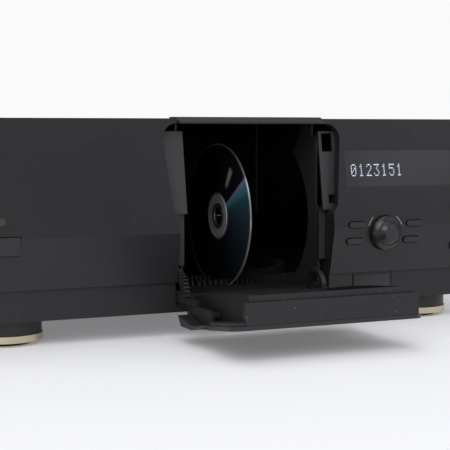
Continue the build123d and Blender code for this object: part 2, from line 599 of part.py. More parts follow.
def make_comb(radius):
    """A ring of upright fins between which the discs stand."""
    base_z = TRAY_FLOOR + TRAY_THICK + 0.05
    ring = extrude(Circle(radius + COMB_HALF) - Circle(radius - COMB_HALF), COMB_TOP - base_z)
    width = 2 * math.pi * radius / SLOTS * SLOT_SHARE
    slot = Box(2 * COMB_HALF + 3, width, 20.0)
    height = COMB_SEAT - base_z + 10.0
    slots = [Rot(0, 0, -90 + DISC_TURN + i * 360.0 / SLOTS) * Pos(radius, 0, height) * slot for i in range(SLOTS)]
    return Pos(CAROUSEL_X, CAROUSEL_Y, base_z) * (ring - slots)


def make_disc():
    """The one disc, standing in its slot."""
    plate = Circle(DISC_RADIUS) - Circle(DISC_HOLE)
    disc = Pos(0, DISC_THICK / 2, 0) * extrude(Plane.XZ * plate, DISC_THICK)
    placed = Rot(0, 0, -90 + DISC_TURN) * Pos(DISC_RING, 0, DISC_Z) * disc
    return Pos(CAROUSEL_X, CAROUSEL_Y, 0) * placed


def drive_place(distance):
    """A point on the line from the carousel's axis to its drive."""
    angle = math.radians(DRIVE_ANGLE)
    return CAROUSEL_X + distance * math.cos(angle), CAROUSEL_Y + distance * math.sin(angle)


IDLER_DISTANCE = GEAR_MODULE * (RING_TEETH + IDLER_TEETH) / 2
DRIVE_DISTANCE = IDLER_DISTANCE + GEAR_MODULE * (IDLER_TEETH + DRIVE_TEETH) / 2
PIN_RADIUS = 2.0
SHAFT_RADIUS = 1.5


def mesh_turn(teeth, partner_teeth, partner_turn):
    """The turn that puts a gear's gap on its partner's tooth, along the drive's line."""
    step, partner_step = 360.0 / teeth, 360.0 / partner_teeth
    offset = (DRIVE_ANGLE - partner_turn) / partner_step % 1.0
    return DRIVE_ANGLE + 180 + (0.5 + offset) * step


IDLER_TURN = mesh_turn(IDLER_TEETH, RING_TEETH, 0.0)
DRIVE_TURN = mesh_turn(DRIVE_TEETH, IDLER_TEETH, IDLER_TURN)


def make_idler():
    """The middle gear of the carousel's drive, bored for its pin."""
    x, y = drive_place(IDLER_DISTANCE)
    gear = extrude(outline(gear_outline(GEAR_MODULE, IDLER_TEETH, turn=IDLER_TURN)), GEAR_THICK)
    hub = extrude(Circle(6), GEAR_THICK + 1.5)
    return Pos(x, y, TRAY_FLOOR) * (gear + hub - extrude(Circle(PIN_RADIUS + RUN_GAP), 20))


def make_idler_pin():
    """The idler's pin, which is riveted in the pan."""
    x, y = drive_place(IDLER_DISTANCE)
    return Pos(x, y, PAN_BOTTOM) * (extrude(Circle(PIN_RADIUS), 12.0) + extrude(Circle(5), PAN_SHEET + 1.5))


def make_drive_pinion():
    """The carousel motor's gear and shaft."""
    x, y = drive_place(DRIVE_DISTANCE)
    gear = extrude(outline(gear_outline(GEAR_MODULE, DRIVE_TEETH, turn=DRIVE_TURN)), GEAR_THICK)
    return Pos(x, y, TRAY_FLOOR) * (gear + extrude(Circle(SHAFT_RADIUS), 20.0))


def make_carousel_motor():
    """The carousel's motor over its pinion, on a bracket with two legs."""
    x, y = drive_place(DRIVE_DISTANCE)
    base = TRAY_FLOOR + GEAR_THICK + 2.5
    motor = Pos(x, y, base) * (extrude(Rectangle(34, 34), 1.5) + extrude(Circle(14), 30))
    for side in (-1, 1):
        leg = Pos(x + side * 15.5, y + 13, PAN_BOTTOM + PAN_SHEET + 0.05)
        motor += leg * extrude(Rectangle(3, 6), base - PAN_BOTTOM - PAN_SHEET, both=False)
    return motor - Pos(x, y, base - 1) * extrude(Circle(SHAFT_RADIUS + RUN_GAP), 18)


def make_glides():
    """Six low-friction pads on the pan, just under the carousel's floor."""
    base = PAN_BOTTOM + PAN_SHEET + 0.05
    pads = []
    for turn in range(0, 360, 60):
        angle = math.radians(turn + 30)
        x, y = CAROUSEL_X + 140 * math.cos(angle), CAROUSEL_Y + 140 * math.sin(angle)
        pads.append(Pos(x, y, base) * extrude(Circle(6), TRAY_FLOOR - base - 0.3))
    return pads


# ---- player at the carousel's centre
DECK_X = CAROUSEL_X - 13.0
SPINDLE_Z = DISC_Z


def make_tower():
    """The fixed tower: base, collar for the carousel, and the upright deck with its lugs."""
    base = PAN_BOTTOM + PAN_SHEET + 0.05
    tower = tube(TRAY_BORE - RUN_GAP, TRAY_BORE - 4, base, TRAY_FLOOR + 5, CAROUSEL_X, CAROUSEL_Y)
    tower += Pos(CAROUSEL_X, CAROUSEL_Y, base) * extrude(Circle(TRAY_BORE - 2), 2.0)
    deck = slab(DECK_X, DECK_X + 2.5, CAROUSEL_Y - 50, CAROUSEL_Y + 66, base + 1, 130)
    deck -= rod(9.0, (DECK_X - 5, CAROUSEL_Y, SPINDLE_Z), (DECK_X + 9, CAROUSEL_Y, SPINDLE_Z))
    deck += slab(DECK_X - 12, DECK_X, CAROUSEL_Y + 14, CAROUSEL_Y + 17, SPINDLE_Z - 34, SPINDLE_Z + 20)
    deck += slab(DECK_X - 12, DECK_X, CAROUSEL_Y + 63, CAROUSEL_Y + 66, SPINDLE_Z - 34, SPINDLE_Z + 20)
    deck += slab(DECK_X - 30, DECK_X, CAROUSEL_Y - 50, CAROUSEL_Y - 47, base + 1, 110)
    deck -= slab(DECK_X - 1, DECK_X + 4, CAROUSEL_Y + 19, CAROUSEL_Y + 61, SPINDLE_Z - 12, SPINDLE_Z + 12)
    for z in (SPINDLE_Z - 16, SPINDLE_Z + 16):
        deck -= rod(ROD_R + 0.02, (ROD_X, CAROUSEL_Y + 10, z), (ROD_X, CAROUSEL_Y + 70, z))
    deck -= rod(SCREW_R + RUN_GAP, (ROD_X, CAROUSEL_Y + 10, SCREW_Z), (ROD_X, CAROUSEL_Y + 70, SCREW_Z))
    deck -= rod(2.0 + RUN_GAP, (DECK_X - 2, LOADER_Y, LOADER_Z), (DECK_X + 5, LOADER_Y, LOADER_Z))
    return tower + deck + make_clamp_stand()


ROD_R = 1.5
ROD_X = DECK_X - 7
SCREW_R = 1.5
SCREW_Z = SPINDLE_Z - 28


def make_rods():
    """The two rods that the pickup slides on."""
    return [rod(ROD_R, (ROD_X, CAROUSEL_Y + 14, z), (ROD_X, CAROUSEL_Y + 66, z))
            for z in (SPINDLE_Z - 16, SPINDLE_Z + 16)]


def make_spindle_motor():
    """The motor behind the deck that turns the disc."""
    motor = rod(12.0, (DECK_X - 16, CAROUSEL_Y, SPINDLE_Z), (DECK_X - 0.1, CAROUSEL_Y, SPINDLE_Z))
    return motor - rod(1.0 + RUN_GAP, (DECK_X - 10, CAROUSEL_Y, SPINDLE_Z), (DECK_X + 2, CAROUSEL_Y, SPINDLE_Z))


def make_turntable():
    """The turntable that seats the disc, with its shaft."""
    plate = rod(14.0, (DECK_X + 8, CAROUSEL_Y, SPINDLE_Z), (DECK_X + 11.5, CAROUSEL_Y, SPINDLE_Z))
    nose = rod(7.2, (DECK_X + 11, CAROUSEL_Y, SPINDLE_Z), (DECK_X + 13.4, CAROUSEL_Y, SPINDLE_Z))
    shaft = rod(1.0, (DECK_X - 9, CAROUSEL_Y, SPINDLE_Z), (DECK_X + 9, CAROUSEL_Y, SPINDLE_Z))
    return plate + nose + shaft


CLAMP_X = CAROUSEL_X + 20.0
CLAMP_PIVOT_Z = 50.0


def make_clamp_arm():
    """The arm that presses the clamper on the disc, on its cross pin."""
    arm = slab(CLAMP_X, CLAMP_X + 2.5, CAROUSEL_Y - 9, CAROUSEL_Y + 9, CLAMP_PIVOT_Z, SPINDLE_Z + 14)
    arm += rod(3.0, (CLAMP_X + 1.2, CAROUSEL_Y - 9, CLAMP_PIVOT_Z), (CLAMP_X + 1.2, CAROUSEL_Y + 9, CLAMP_PIVOT_Z))
    arm -= rod(1.5 + RUN_GAP, (CLAMP_X + 1.2, CAROUSEL_Y - 10, CLAMP_PIVOT_Z),
               (CLAMP_X + 1.2, CAROUSEL_Y + 10, CLAMP_PIVOT_Z))
    return arm - rod(2.0 + RUN_GAP, (CLAMP_X - 5, CAROUSEL_Y, SPINDLE_Z), (CLAMP_X + 9, CAROUSEL_Y, SPINDLE_Z))


def make_clamp_stand():
    """The stand and pin that carry the clamp arm."""
    base = PAN_BOTTOM + PAN_SHEET + 1.0
    pin = rod(1.5, (CLAMP_X + 1.2, CAROUSEL_Y - 14, CLAMP_PIVOT_Z), (CLAMP_X + 1.2, CAROUSEL_Y + 14, CLAMP_PIVOT_Z))
    stand = pin
    for y in (CAROUSEL_Y - 14, CAROUSEL_Y + 11):
        stand += slab(CLAMP_X - 3, CLAMP_X + 5, y, y + 3, base, CLAMP_PIVOT_Z + 3)
    return stand + slab(CLAMP_X - 3, CLAMP_X + 5, CAROUSEL_Y - 14, CAROUSEL_Y + 14, base, base + 3)


def make_clamper():
    """The free-turning clamper in the arm."""
    disc = rod(13.0, (CLAMP_X - 3.2, CAROUSEL_Y, SPINDLE_Z), (CLAMP_X - 0.3, CAROUSEL_Y, SPINDLE_Z))
    stem = rod(2.0, (CLAMP_X - 1, CAROUSEL_Y, SPINDLE_Z), (CLAMP_X + 3.2, CAROUSEL_Y, SPINDLE_Z))
    cap = rod(4.0, (CLAMP_X + 2.8, CAROUSEL_Y, SPINDLE_Z), (CLAMP_X + 4.2, CAROUSEL_Y, SPINDLE_Z))
    return disc + stem + cap


SLED_TRAVEL = 28.0


def make_pickup():
    """The laser sled on its rods, with the lens towards the disc and a nut for the feed screw."""
    y0, y1 = CAROUSEL_Y + 20, CAROUSEL_Y + 34
    sled = slab(ROD_X - 4, ROD_X + 4, y0, y1, SPINDLE_Z - 31, SPINDLE_Z + 20)
    sled += rod(4.0, (ROD_X + 3, (y0 + y1) / 2, SPINDLE_Z), (ROD_X + 12.5, (y0 + y1) / 2, SPINDLE_Z))
    for z in (SPINDLE_Z - 16, SPINDLE_Z + 16):
        sled -= rod(ROD_R + RUN_GAP, (ROD_X, y0 - 2, z), (ROD_X, y1 + 2, z))
    return sled - rod(SCREW_R + RUN_GAP, (ROD_X, y0 - 2, SCREW_Z), (ROD_X, y1 + 2, SCREW_Z))


def make_feed_screw():
    """The screw that moves the sled, with its gear at the end."""
    screw = rod(SCREW_R, (ROD_X, CAROUSEL_Y + 11, SCREW_Z), (ROD_X, CAROUSEL_Y + 66, SCREW_Z))
    return screw + rod(6.0, (ROD_X, CAROUSEL_Y + 10.4, SCREW_Z), (ROD_X, CAROUSEL_Y + 13.4, SCREW_Z))


LOADER_Y = CAROUSEL_Y - 34.0
LOADER_Z = 40.0
LOADER_X = CAROUSEL_X - 3.4


def make_loading_arm():
    """The thin lever that swings out beside a disc and draws it in."""
    arm = slab(LOADER_X, LOADER_X + 1.2, LOADER_Y - 4, LOADER_Y + 4, LOADER_Z, LOADER_Z + 70)
    arm += rod(6.0, (LOADER_X, LOADER_Y, LOADER_Z), (LOADER_X + 1.2, LOADER_Y, LOADER_Z))
    arm += rod(2.0, (DECK_X + 2.0, LOADER_Y, LOADER_Z), (LOADER_X + 1.0, LOADER_Y, LOADER_Z))
    arm += slab(LOADER_X, LOADER_X + 1.2, LOADER_Y - 9, LOADER_Y, LOADER_Z + 66, LOADER_Z + 72)
    return arm + rod(2.0, (DECK_X - 5, LOADER_Y, LOADER_Z), (DECK_X + 2.1, LOADER_Y, LOADER_Z))


# ---- controls
def make_oval_key(x, z):
    """An oval key: its cap, a flange behind the fascia and a stem towards its switch."""
    flange_y = inner_y(z - 5) + 0.9 if z < RIDGE_Z else inner_y(z + 5) + 0.9
    front = min(front_y(z - 2), front_y(z + 2)) - KEY_PROUD
    key = along_y(oval(OVAL_WIDTH, OVAL_HEIGHT, x, z), front, flange_y + 0.5)
    key += along_y(oval(OVAL_WIDTH + 3, OVAL_HEIGHT + 3, x, z), flange_y, flange_y + 1.2)
    return key + rod(1.6, (x, flange_y + 1, z), (x, SWITCH_Y - KEY_TRAVEL - 0.3, z))


def make_flat_key(x, z, width, height):
    """A rectangular key with its flange and stem."""
    flange_y = max(inner_y(z - height / 2 - 1.5), inner_y(z + height / 2 + 1.5)) + 0.9
    front = min(front_y(z - height / 2), front_y(z + height / 2)) - KEY_PROUD * 0.6
    key = along_y(key_hole(width, height, x, z), front, flange_y + 0.5)
    key += along_y(key_hole(width + 3, height + 3, x, z), flange_y, flange_y + 1.2)
    return key + rod(1.6, (x, flange_y + 1, z), (x, SWITCH_Y - KEY_TRAVEL - 0.3, z))


SWITCH_Y = BOARD_Y - 4.0


def make_switches():
    """One small switch behind each key, on its board."""
    places = list(OVALS.values()) + list(PLAY_KEYS.values()) + [POWER_KEY]
    return [slab(x - 3, x + 3, SWITCH_Y, BOARD_Y - 0.05, z - 3, z + 3) for x, z in places]


def make_boards():
    """The control board at the right and the power key's board at the left."""
    right = slab(88.0, 213.0, BOARD_Y, BOARD_Y + BOARD_THICK, 48.0, 150.0)
    left = slab(-213.0, -170.0, BOARD_Y, BOARD_Y + BOARD_THICK, 56.0, 100.0)
    return right, left


def make_board_feet():
    """Angles that hold the two front boards on the pan."""
    base = PAN_BOTTOM + PAN_SHEET + 0.05
    feet = []
    for x0, top in ((-208.0, 70.0), (-184.0, 70.0), (92.0, 60.0), (200.0, 60.0)):
        y0 = BOARD_Y + BOARD_THICK + 0.05
        feet.append(slab(x0, x0 + 8, y0, y0 + 1.5, base, top) + slab(x0, x0 + 8, y0, y0 + 12, base, base + 1.5))
    return feet


def make_window():
    """The smoked window, set in the fascia's aperture."""
    x0, x1, z0, z1 = WINDOW
    gap = 0.35
    z0, z1 = z0 + gap, z1 - gap
    pane = along_x([(front_y(z0) + 0.3, z0), (front_y(z1) + 0.3, z1), (front_y(z1) + 3.4, z1), (front_y(z0) + 3.4, z0)],
                   x0 + gap, x1 - gap)
    lip = along_x([(inner_y(z0 - 3) + 0.4, z0 - 3), (inner_y(z1 + 3) + 0.4, z1 + 3), (inner_y(z1 + 3) + 1.4, z1 + 3),
                   (inner_y(z0 - 3) + 1.4, z0 - 3)], x0 - 2.0, x1 + 2.0)
    return pane + lip


def make_display():
    """The display tube behind the window."""
    x0, x1, z0, z1 = WINDOW
    return slab(x0 + 4, x1 - 4, BOARD_Y - 6.5, BOARD_Y - 0.05, z0 - 2, z1 + 1)


def make_jog_knob():
    """The round jog knob: a stepped dome with a flat face, and its shaft."""
    seat = front_y(RIDGE_Z) - 0.8
    profile = [(0, 0), (JOG_RADIUS, 0), (JOG_RADIUS, 2.4), (JOG_RADIUS - 1.0, 3.6), (JOG_FACE + 4.4, 5.4),
               (JOG_FACE + 4.0, 5.0), (JOG_FACE + 3.0, 6.4), (JOG_FACE + 0.8, JOG_PROUD - 0.5),
               (JOG_FACE, JOG_PROUD), (0, JOG_PROUD)]
    face = make_face(Polyline(*profile, close=True))
    dome = revolve(Plane.XZ * face, Axis.Z, 360)
    knob = Pos(JOG_X, seat, JOG_Z) * (Rot(90, 0, 0) * dome)
    knob += rod(JOG_RADIUS, (JOG_X, seat - 0.2, JOG_Z), (JOG_X, seat + 3.6, JOG_Z))
    return knob + rod(3.0, (JOG_X, seat + 3, JOG_Z), (JOG_X, BOARD_Y - 4.0, JOG_Z))


def make_encoder():
    """The rotary encoder that the jog knob's shaft turns in."""
    body = slab(JOG_X - 6, JOG_X + 6, BOARD_Y - 8, BOARD_Y - 0.05, JOG_Z - 6, JOG_Z + 6)
    return body - rod(3.0 + RUN_GAP, (JOG_X, BOARD_Y - 9, JOG_Z), (JOG_X, BOARD_Y - 3.5, JOG_Z))


def make_lamp():
    """The standby lamp's lens and its lead body back to the board."""
    x, z = LAMP
    lens = rod(LAMP_RADIUS, (x, front_y(z) - 0.3, z), (x, front_y(z) + 5, z))
    return lens + rod(1.5, (x, front_y(z) + 4.5, z), (x, BOARD_Y - 0.05, z))


# ---- electrics
def make_transformer():
    """The mains transformer in the rear right corner."""
    base = PAN_BOTTOM + PAN_SHEET + 0.05
    core = slab(164, 206, 356, 380, base + 6, base + 46) + slab(168, 202, 350, 386, base + 12, base + 40)
    return core + slab(160, 210, 356, 380, base, base + 6.5)


def make_power_board():
    """The power board along the right wall's rear, on four short posts, with its reservoir capacitors."""
    base = PAN_BOTTOM + PAN_SHEET + 0.05
    board = slab(160, 212, 388, 402, base + 8, base + 9.6)
    for x in (163, 209):
        board += rod(2.0, (x, 395, base), (x, 395, base + 9))
    for x in (172, 186, 200):
        board += Pos(x, 395, base + 9) * extrude(Circle(5.5), 18)
    return board


def make_main_board():
    """The main board in the rear left corner, on posts, with its larger parts."""
    base = PAN_BOTTOM + PAN_SHEET + 0.05
    board = slab(-213, -176, 330, 408, base + 10, base + 11.6)
    for x in (-209, -180):
        for y in (336, 402):
            board += rod(2.0, (x, y, base), (x, y, base + 11))
    board += slab(-204, -184, 350, 370, base + 11, base + 14)
    for y in (380, 392):
        board += Pos(-204, y, base + 11) * extrude(Circle(4.0), 11)
    return board


def build_nodes():
    """Builds every node in the sizes' own frame, as a name and its solids."""
    nodes = {}
    nodes["chassis_pan"] = make_pan()
    nodes["rear_panel"] = make_rear_panel()
    nodes["top_cover"] = make_cover()
    nodes["cover_screws"] = make_screws()
    nodes["front_fascia"] = make_fascia()
    nodes["lower_trim"] = make_trim()
    nodes["foot_bodies"], nodes["foot_rings"], nodes["foot_pads"] = make_feet()
    nodes["door_frame"] = make_door_frame()
    nodes["door_visor"] = make_visor()
    nodes["left_liner_wall"] = make_liner_wall(-1)
    nodes["right_liner_wall"] = make_liner_wall(1)
    nodes["sill_plate"] = make_sill()
    nodes["door_cover"] = make_door_cover()
    nodes["door_box"] = make_door_box()
    nodes["door_gear_sector"] = make_gear_sector()
    nodes["door_arm"] = make_door_arm()
    nodes["hinge_pins"] = make_hinge_pins()
    nodes["door_pinion"] = make_pinion()
    nodes["door_motor"] = make_door_motor()
    nodes["carousel_tray"] = make_tray()
    nodes["outer_comb"] = make_comb(COMB_RADII[0])
    nodes["inner_comb"] = make_comb(COMB_RADII[1])
    nodes["disc"] = make_disc()
    nodes["carousel_idler"] = make_idler()
    nodes["carousel_pinion"] = make_drive_pinion()
    nodes["carousel_motor"] = make_carousel_motor()
    nodes["carousel_glides"] = make_glides()
    nodes["player_tower"] = make_tower()
    nodes["guide_rods"] = make_rods()
    nodes["spindle_motor"] = make_spindle_motor()
    nodes["turntable"] = make_turntable()
    nodes["clamp_arm"] = make_clamp_arm()
    nodes["clamper"] = make_clamper()
    nodes["laser_pickup"] = make_pickup()
    nodes["feed_screw"] = make_feed_screw()
    nodes["loading_arm"] = make_loading_arm()
    for name, place in OVALS.items():
        nodes[name] = make_oval_key(*place)
    for name, place in PLAY_KEYS.items():
        nodes[name] = make_flat_key(*place, PLAY_WIDTH, PLAY_HEIGHT)
    nodes["power_key"] = make_flat_key(*POWER_KEY, POWER_WIDTH, POWER_HEIGHT)
    nodes["jog_knob"] = make_jog_knob()
    nodes["jog_encoder"] = make_encoder()
    nodes["key_switches"] = make_switches()
    nodes["control_board"], nodes["power_key_board"] = make_boards()
    nodes["board_angles"] = make_board_feet()
    nodes["display_window"] = make_window()
    nodes["display_tube"] = make_display()
    nodes["lamp_lens"] = make_lamp()
    nodes["transformer"] = make_transformer()
    nodes["power_board"] = make_power_board()
    nodes["main_board"] = make_main_board()
    nodes["audio_jacks"] = make_jacks()
    nodes["power_inlet"] = make_inlet()
    return nodes


def as_compound(shape):
    """One compound of a node's solids."""
    shapes = shape if isinstance(shape, list) else [shape]
    return Compound(children=[solid for item in shapes for solid in item.solids()])


def frame_shift(nodes):
    """How far the pieces move so that the footprint's middle is the origin."""
    boxes = [node.bounding_box() for node in nodes.values()]
    front = min(box.min.Y for box in boxes)
    rear = max(box.max.Y for box in boxes)
    return -(front + rear) / 2


def main():
    """Builds the nodes, moves them to the part's frame and writes each one."""
    os.makedirs("parts", exist_ok=True)
    nodes = {name: as_compound(shape) for name, shape in build_nodes().items()}
    shift = frame_shift(nodes)
    for name, node in nodes.items():
        export_step(Pos(0, shift, 0) * node, f"parts/{name}.step")
    print(len(nodes), "nodes, moved along Y by", round(shift, 4))
    return nodes, shift


if __name__ == "__main__":
    main()
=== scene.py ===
"""Dresses the open-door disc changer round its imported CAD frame, and sets its light, floor and camera."""

import logging  # noqa: E402
import math  # noqa: E402
from dataclasses import dataclass, field  # noqa: E402
from enum import Enum  # noqa: E402

import bpy  # noqa: E402
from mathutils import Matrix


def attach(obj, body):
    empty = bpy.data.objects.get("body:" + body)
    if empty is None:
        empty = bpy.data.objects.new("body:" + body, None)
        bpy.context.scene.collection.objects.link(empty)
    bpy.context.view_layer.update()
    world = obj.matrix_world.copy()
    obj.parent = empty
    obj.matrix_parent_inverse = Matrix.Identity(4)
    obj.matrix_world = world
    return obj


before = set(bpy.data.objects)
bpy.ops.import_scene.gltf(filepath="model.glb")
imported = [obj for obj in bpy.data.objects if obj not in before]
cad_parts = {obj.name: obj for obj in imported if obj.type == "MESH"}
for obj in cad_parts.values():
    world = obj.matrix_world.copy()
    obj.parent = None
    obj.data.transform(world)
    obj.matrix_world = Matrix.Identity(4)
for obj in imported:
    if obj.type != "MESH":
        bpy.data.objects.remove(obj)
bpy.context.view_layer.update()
LOG = logging.getLogger("changer")

MM = 0.001
DISC_RADIUS = 60.0  # of the disc, in millimetres
SHIFT_Y = -156.6227  # from the front-plane sizes below to the shared frame, in millimetres
Colour = tuple[float, float, float]
Point = tuple[float, float, float]


def linear(value: float) -> float:
    """One sRGB channel, 0 to 255, as a linear value."""
    v = value / 255.0
    return v / 12.92 if v <= 0.04045 else ((v + 0.055) / 1.055) ** 2.4


def shade(red: float, green: float, blue: float) -> Colour:
    """A colour as it reads on a screen, 0 to 255 each, as linear values."""
    return linear(red), linear(green), linear(blue)


def at(x: float, y: float, z: float) -> Point:
    """A point given in front-plane millimetres, in the shared frame's metres."""
    return x * MM, (y + SHIFT_Y) * MM, z * MM


def front_y(z: float) -> float:
    """Y of the fascia's outer face at a height, in front-plane millimetres."""
    return 7.5 * (79.5 - z) / 37.4 if z < 79.5 else 12.8 * (z - 79.5) / 83.3


class Sheen(Enum):
    """How a finish takes light."""

    PLASTIC = "plastic"
    METAL = "metal"
    RUBBER = "rubber"


@dataclass(frozen=True)
class Finish:
    """A surface finish with its own grain, mottling and dust.

    Attributes:
        name: The material's name.
        colour: The base colour.
        rough: The mean roughness.
        sheen: Plastic, metal or rubber.
        grain: Size of the fine grain, in millimetres.
        relief: Height of the grain, in millimetres.
        mottle: Share by which the colour varies over the surface.
        dust: Share of the surface that carries dust specks.
        brushed: Stretch of the grain along X, 1 for none.
        coat: Weight of a clear coat.
        specular: Weight of the plain reflection.
        painted_side_shade: Painted shade, a darker colour for the faces that look along X, if they differ.
    """

    name: str
    colour: Colour
    rough: float = 0.5
    sheen: Sheen = Sheen.PLASTIC
    grain: float = 0.6
    relief: float = 0.02
    mottle: float = 0.1
    dust: float = 0.0
    brushed: float = 1.0
    coat: float = 0.0
    specular: float = 0.5
    painted_side_shade: Colour | None = None

    def build(self) -> bpy.types.Material:
        """Makes the finish as a node material.

        Returns:
            The material.
        """
        material = bpy.data.materials.new(self.name)
        material.use_nodes = True
        nodes, links = material.node_tree.nodes, material.node_tree.links
        shader = nodes["Principled BSDF"]
        shader.inputs["Metallic"].default_value = 1.0 if self.sheen is Sheen.METAL else 0.0
        shader.inputs["Specular IOR Level"].default_value = self.specular
        shader.inputs["Coat Weight"].default_value = self.coat
        place = nodes.new("ShaderNodeTexCoord")
        mapping = nodes.new("ShaderNodeMapping")
        mapping.inputs["Scale"].default_value = (1.0 / self.brushed, 1.0, 1.0)
        links.new(place.outputs["Object"], mapping.inputs["Vector"])
        broad = self._noise(nodes, links, mapping, 18.0, 4.0)
        tone = nodes.new("ShaderNodeMix")
        tone.data_type = "RGBA"
        low = tuple(max(0.0, c * (1.0 - self.mottle)) for c in self.colour)
        high = tuple(min(1.0, c * (1.0 + self.mottle)) for c in self.colour)
        tone.inputs["A"].default_value = (*low, 1.0)
        tone.inputs["B"].default_value = (*high, 1.0)
        links.new(broad.outputs["Fac"], tone.inputs["Factor"])
        colour_out = tone.outputs["Result"]
        # Painted shade: the faces that look along X get a darker colour by their normal.
        if self.painted_side_shade is not None:
            colour_out = self._paint_side_shade(nodes, links, place, colour_out)
        if self.dust > 0.0:
            colour_out = self._dusted(nodes, links, mapping, colour_out)
        links.new(colour_out, shader.inputs["Base Color"])
        fine = self._noise(nodes, links, mapping, 1000.0 / self.grain, 2.0)
        spread = nodes.new("ShaderNodeMapRange")
        spread.inputs["To Min"].default_value = max(0.03, self.rough - 0.06)
        spread.inputs["To Max"].default_value = min(1.0, self.rough + 0.06)
        links.new(broad.outputs["Fac"], spread.inputs["Value"])
        links.new(spread.outputs["Result"], shader.inputs["Roughness"])
        bump = nodes.new("ShaderNodeBump")
        bump.inputs["Strength"].default_value = 0.35
        bump.inputs["Distance"].default_value = self.relief * MM
        links.new(fine.outputs["Fac"], bump.inputs["Height"])
        links.new(bump.outputs["Normal"], shader.inputs["Normal"])
        return material

    def _noise(self, nodes: bpy.types.Nodes, links: bpy.types.NodeLinks, mapping: bpy.types.Node,
               scale: float, detail: float) -> bpy.types.Node:
        """Adds a noise texture on the mapping.

        Args:
            nodes: The material's nodes.
            links: The material's links.
            mapping: The node that gives the coordinates.
            scale: Features per metre.
            detail: Octaves.

        Returns:
            The noise node.
        """
        noise = nodes.new("ShaderNodeTexNoise")
        noise.inputs["Scale"].default_value = scale
        noise.inputs["Detail"].default_value = detail
        links.new(mapping.outputs["Vector"], noise.inputs["Vector"])
        return noise

    def _paint_side_shade(self, nodes: bpy.types.Nodes, links: bpy.types.NodeLinks, place: bpy.types.Node,
                 colour_out: bpy.types.NodeSocket) -> bpy.types.NodeSocket:
        """Paints shade on the faces that look along X: a darker colour mixed in by the normal.

        Args:
            nodes: The material's nodes.
            links: The material's links.
            place: The texture coordinates node.
            colour_out: The colour of the other faces.

        Returns:
            The mixed colour.
        """
        split = nodes.new("ShaderNodeSeparateXYZ")
        links.new(place.outputs["Normal"], split.inputs["Vector"])
        size = nodes.new("ShaderNodeMath")
        size.operation = "ABSOLUTE"
        links.new(split.outputs["X"], size.inputs[0])
        mix = nodes.new("ShaderNodeMix")
        mix.data_type = "RGBA"
        mix.inputs["B"].default_value = (*self.painted_side_shade, 1.0)
        links.new(size.outputs["Value"], mix.inputs["Factor"])
        links.new(colour_out, mix.inputs["A"])
        return mix.outputs["Result"]

    def _dusted(self, nodes: bpy.types.Nodes, links: bpy.types.NodeLinks, mapping: bpy.types.Node,
                colour_out: bpy.types.NodeSocket) -> bpy.types.NodeSocket:
        """Lays pale dust specks, in patches, over the colour.

        Args:
            nodes: The material's nodes.
            links: The material's links.
            mapping: The node that gives the coordinates.
            colour_out: The clean colour.

        Returns:
            The dusted colour.
        """
        specks = nodes.new("ShaderNodeTexVoronoi")
        specks.inputs["Scale"].default_value = 260.0
        links.new(mapping.outputs["Vector"], specks.inputs["Vector"])
        small = nodes.new("ShaderNodeMapRange")
        small.inputs["From Min"].default_value = 0.055
        small.inputs["From Max"].default_value = 0.12
        small.inputs["To Min"].default_value = 1.0
        small.inputs["To Max"].default_value = 0.0
        links.new(specks.outputs["Distance"], small.inputs["Value"])
        patches = self._noise(nodes, links, mapping, 90.0, 3.0)
        gate = nodes.new("ShaderNodeMapRange")
        gate.inputs["From Min"].default_value = 0.62 - 0.2 * self.dust
        gate.inputs["From Max"].default_value = 0.72 - 0.2 * self.dust
        links.new(patches.outputs["Fac"], gate.inputs["Value"])
        both = nodes.new("ShaderNodeMath")
        both.operation = "MULTIPLY"
        links.new(small.outputs["Result"], both.inputs[0])
        links.new(gate.outputs["Result"], both.inputs[1])
        cover = nodes.new("ShaderNodeMix")
        cover.data_type = "RGBA"
        cover.inputs["B"].default_value = (*shade(150, 148, 145), 1.0)
        links.new(both.outputs["Value"], cover.inputs["Factor"])
        links.new(colour_out, cover.inputs["A"])
        return cover.outputs["Result"]


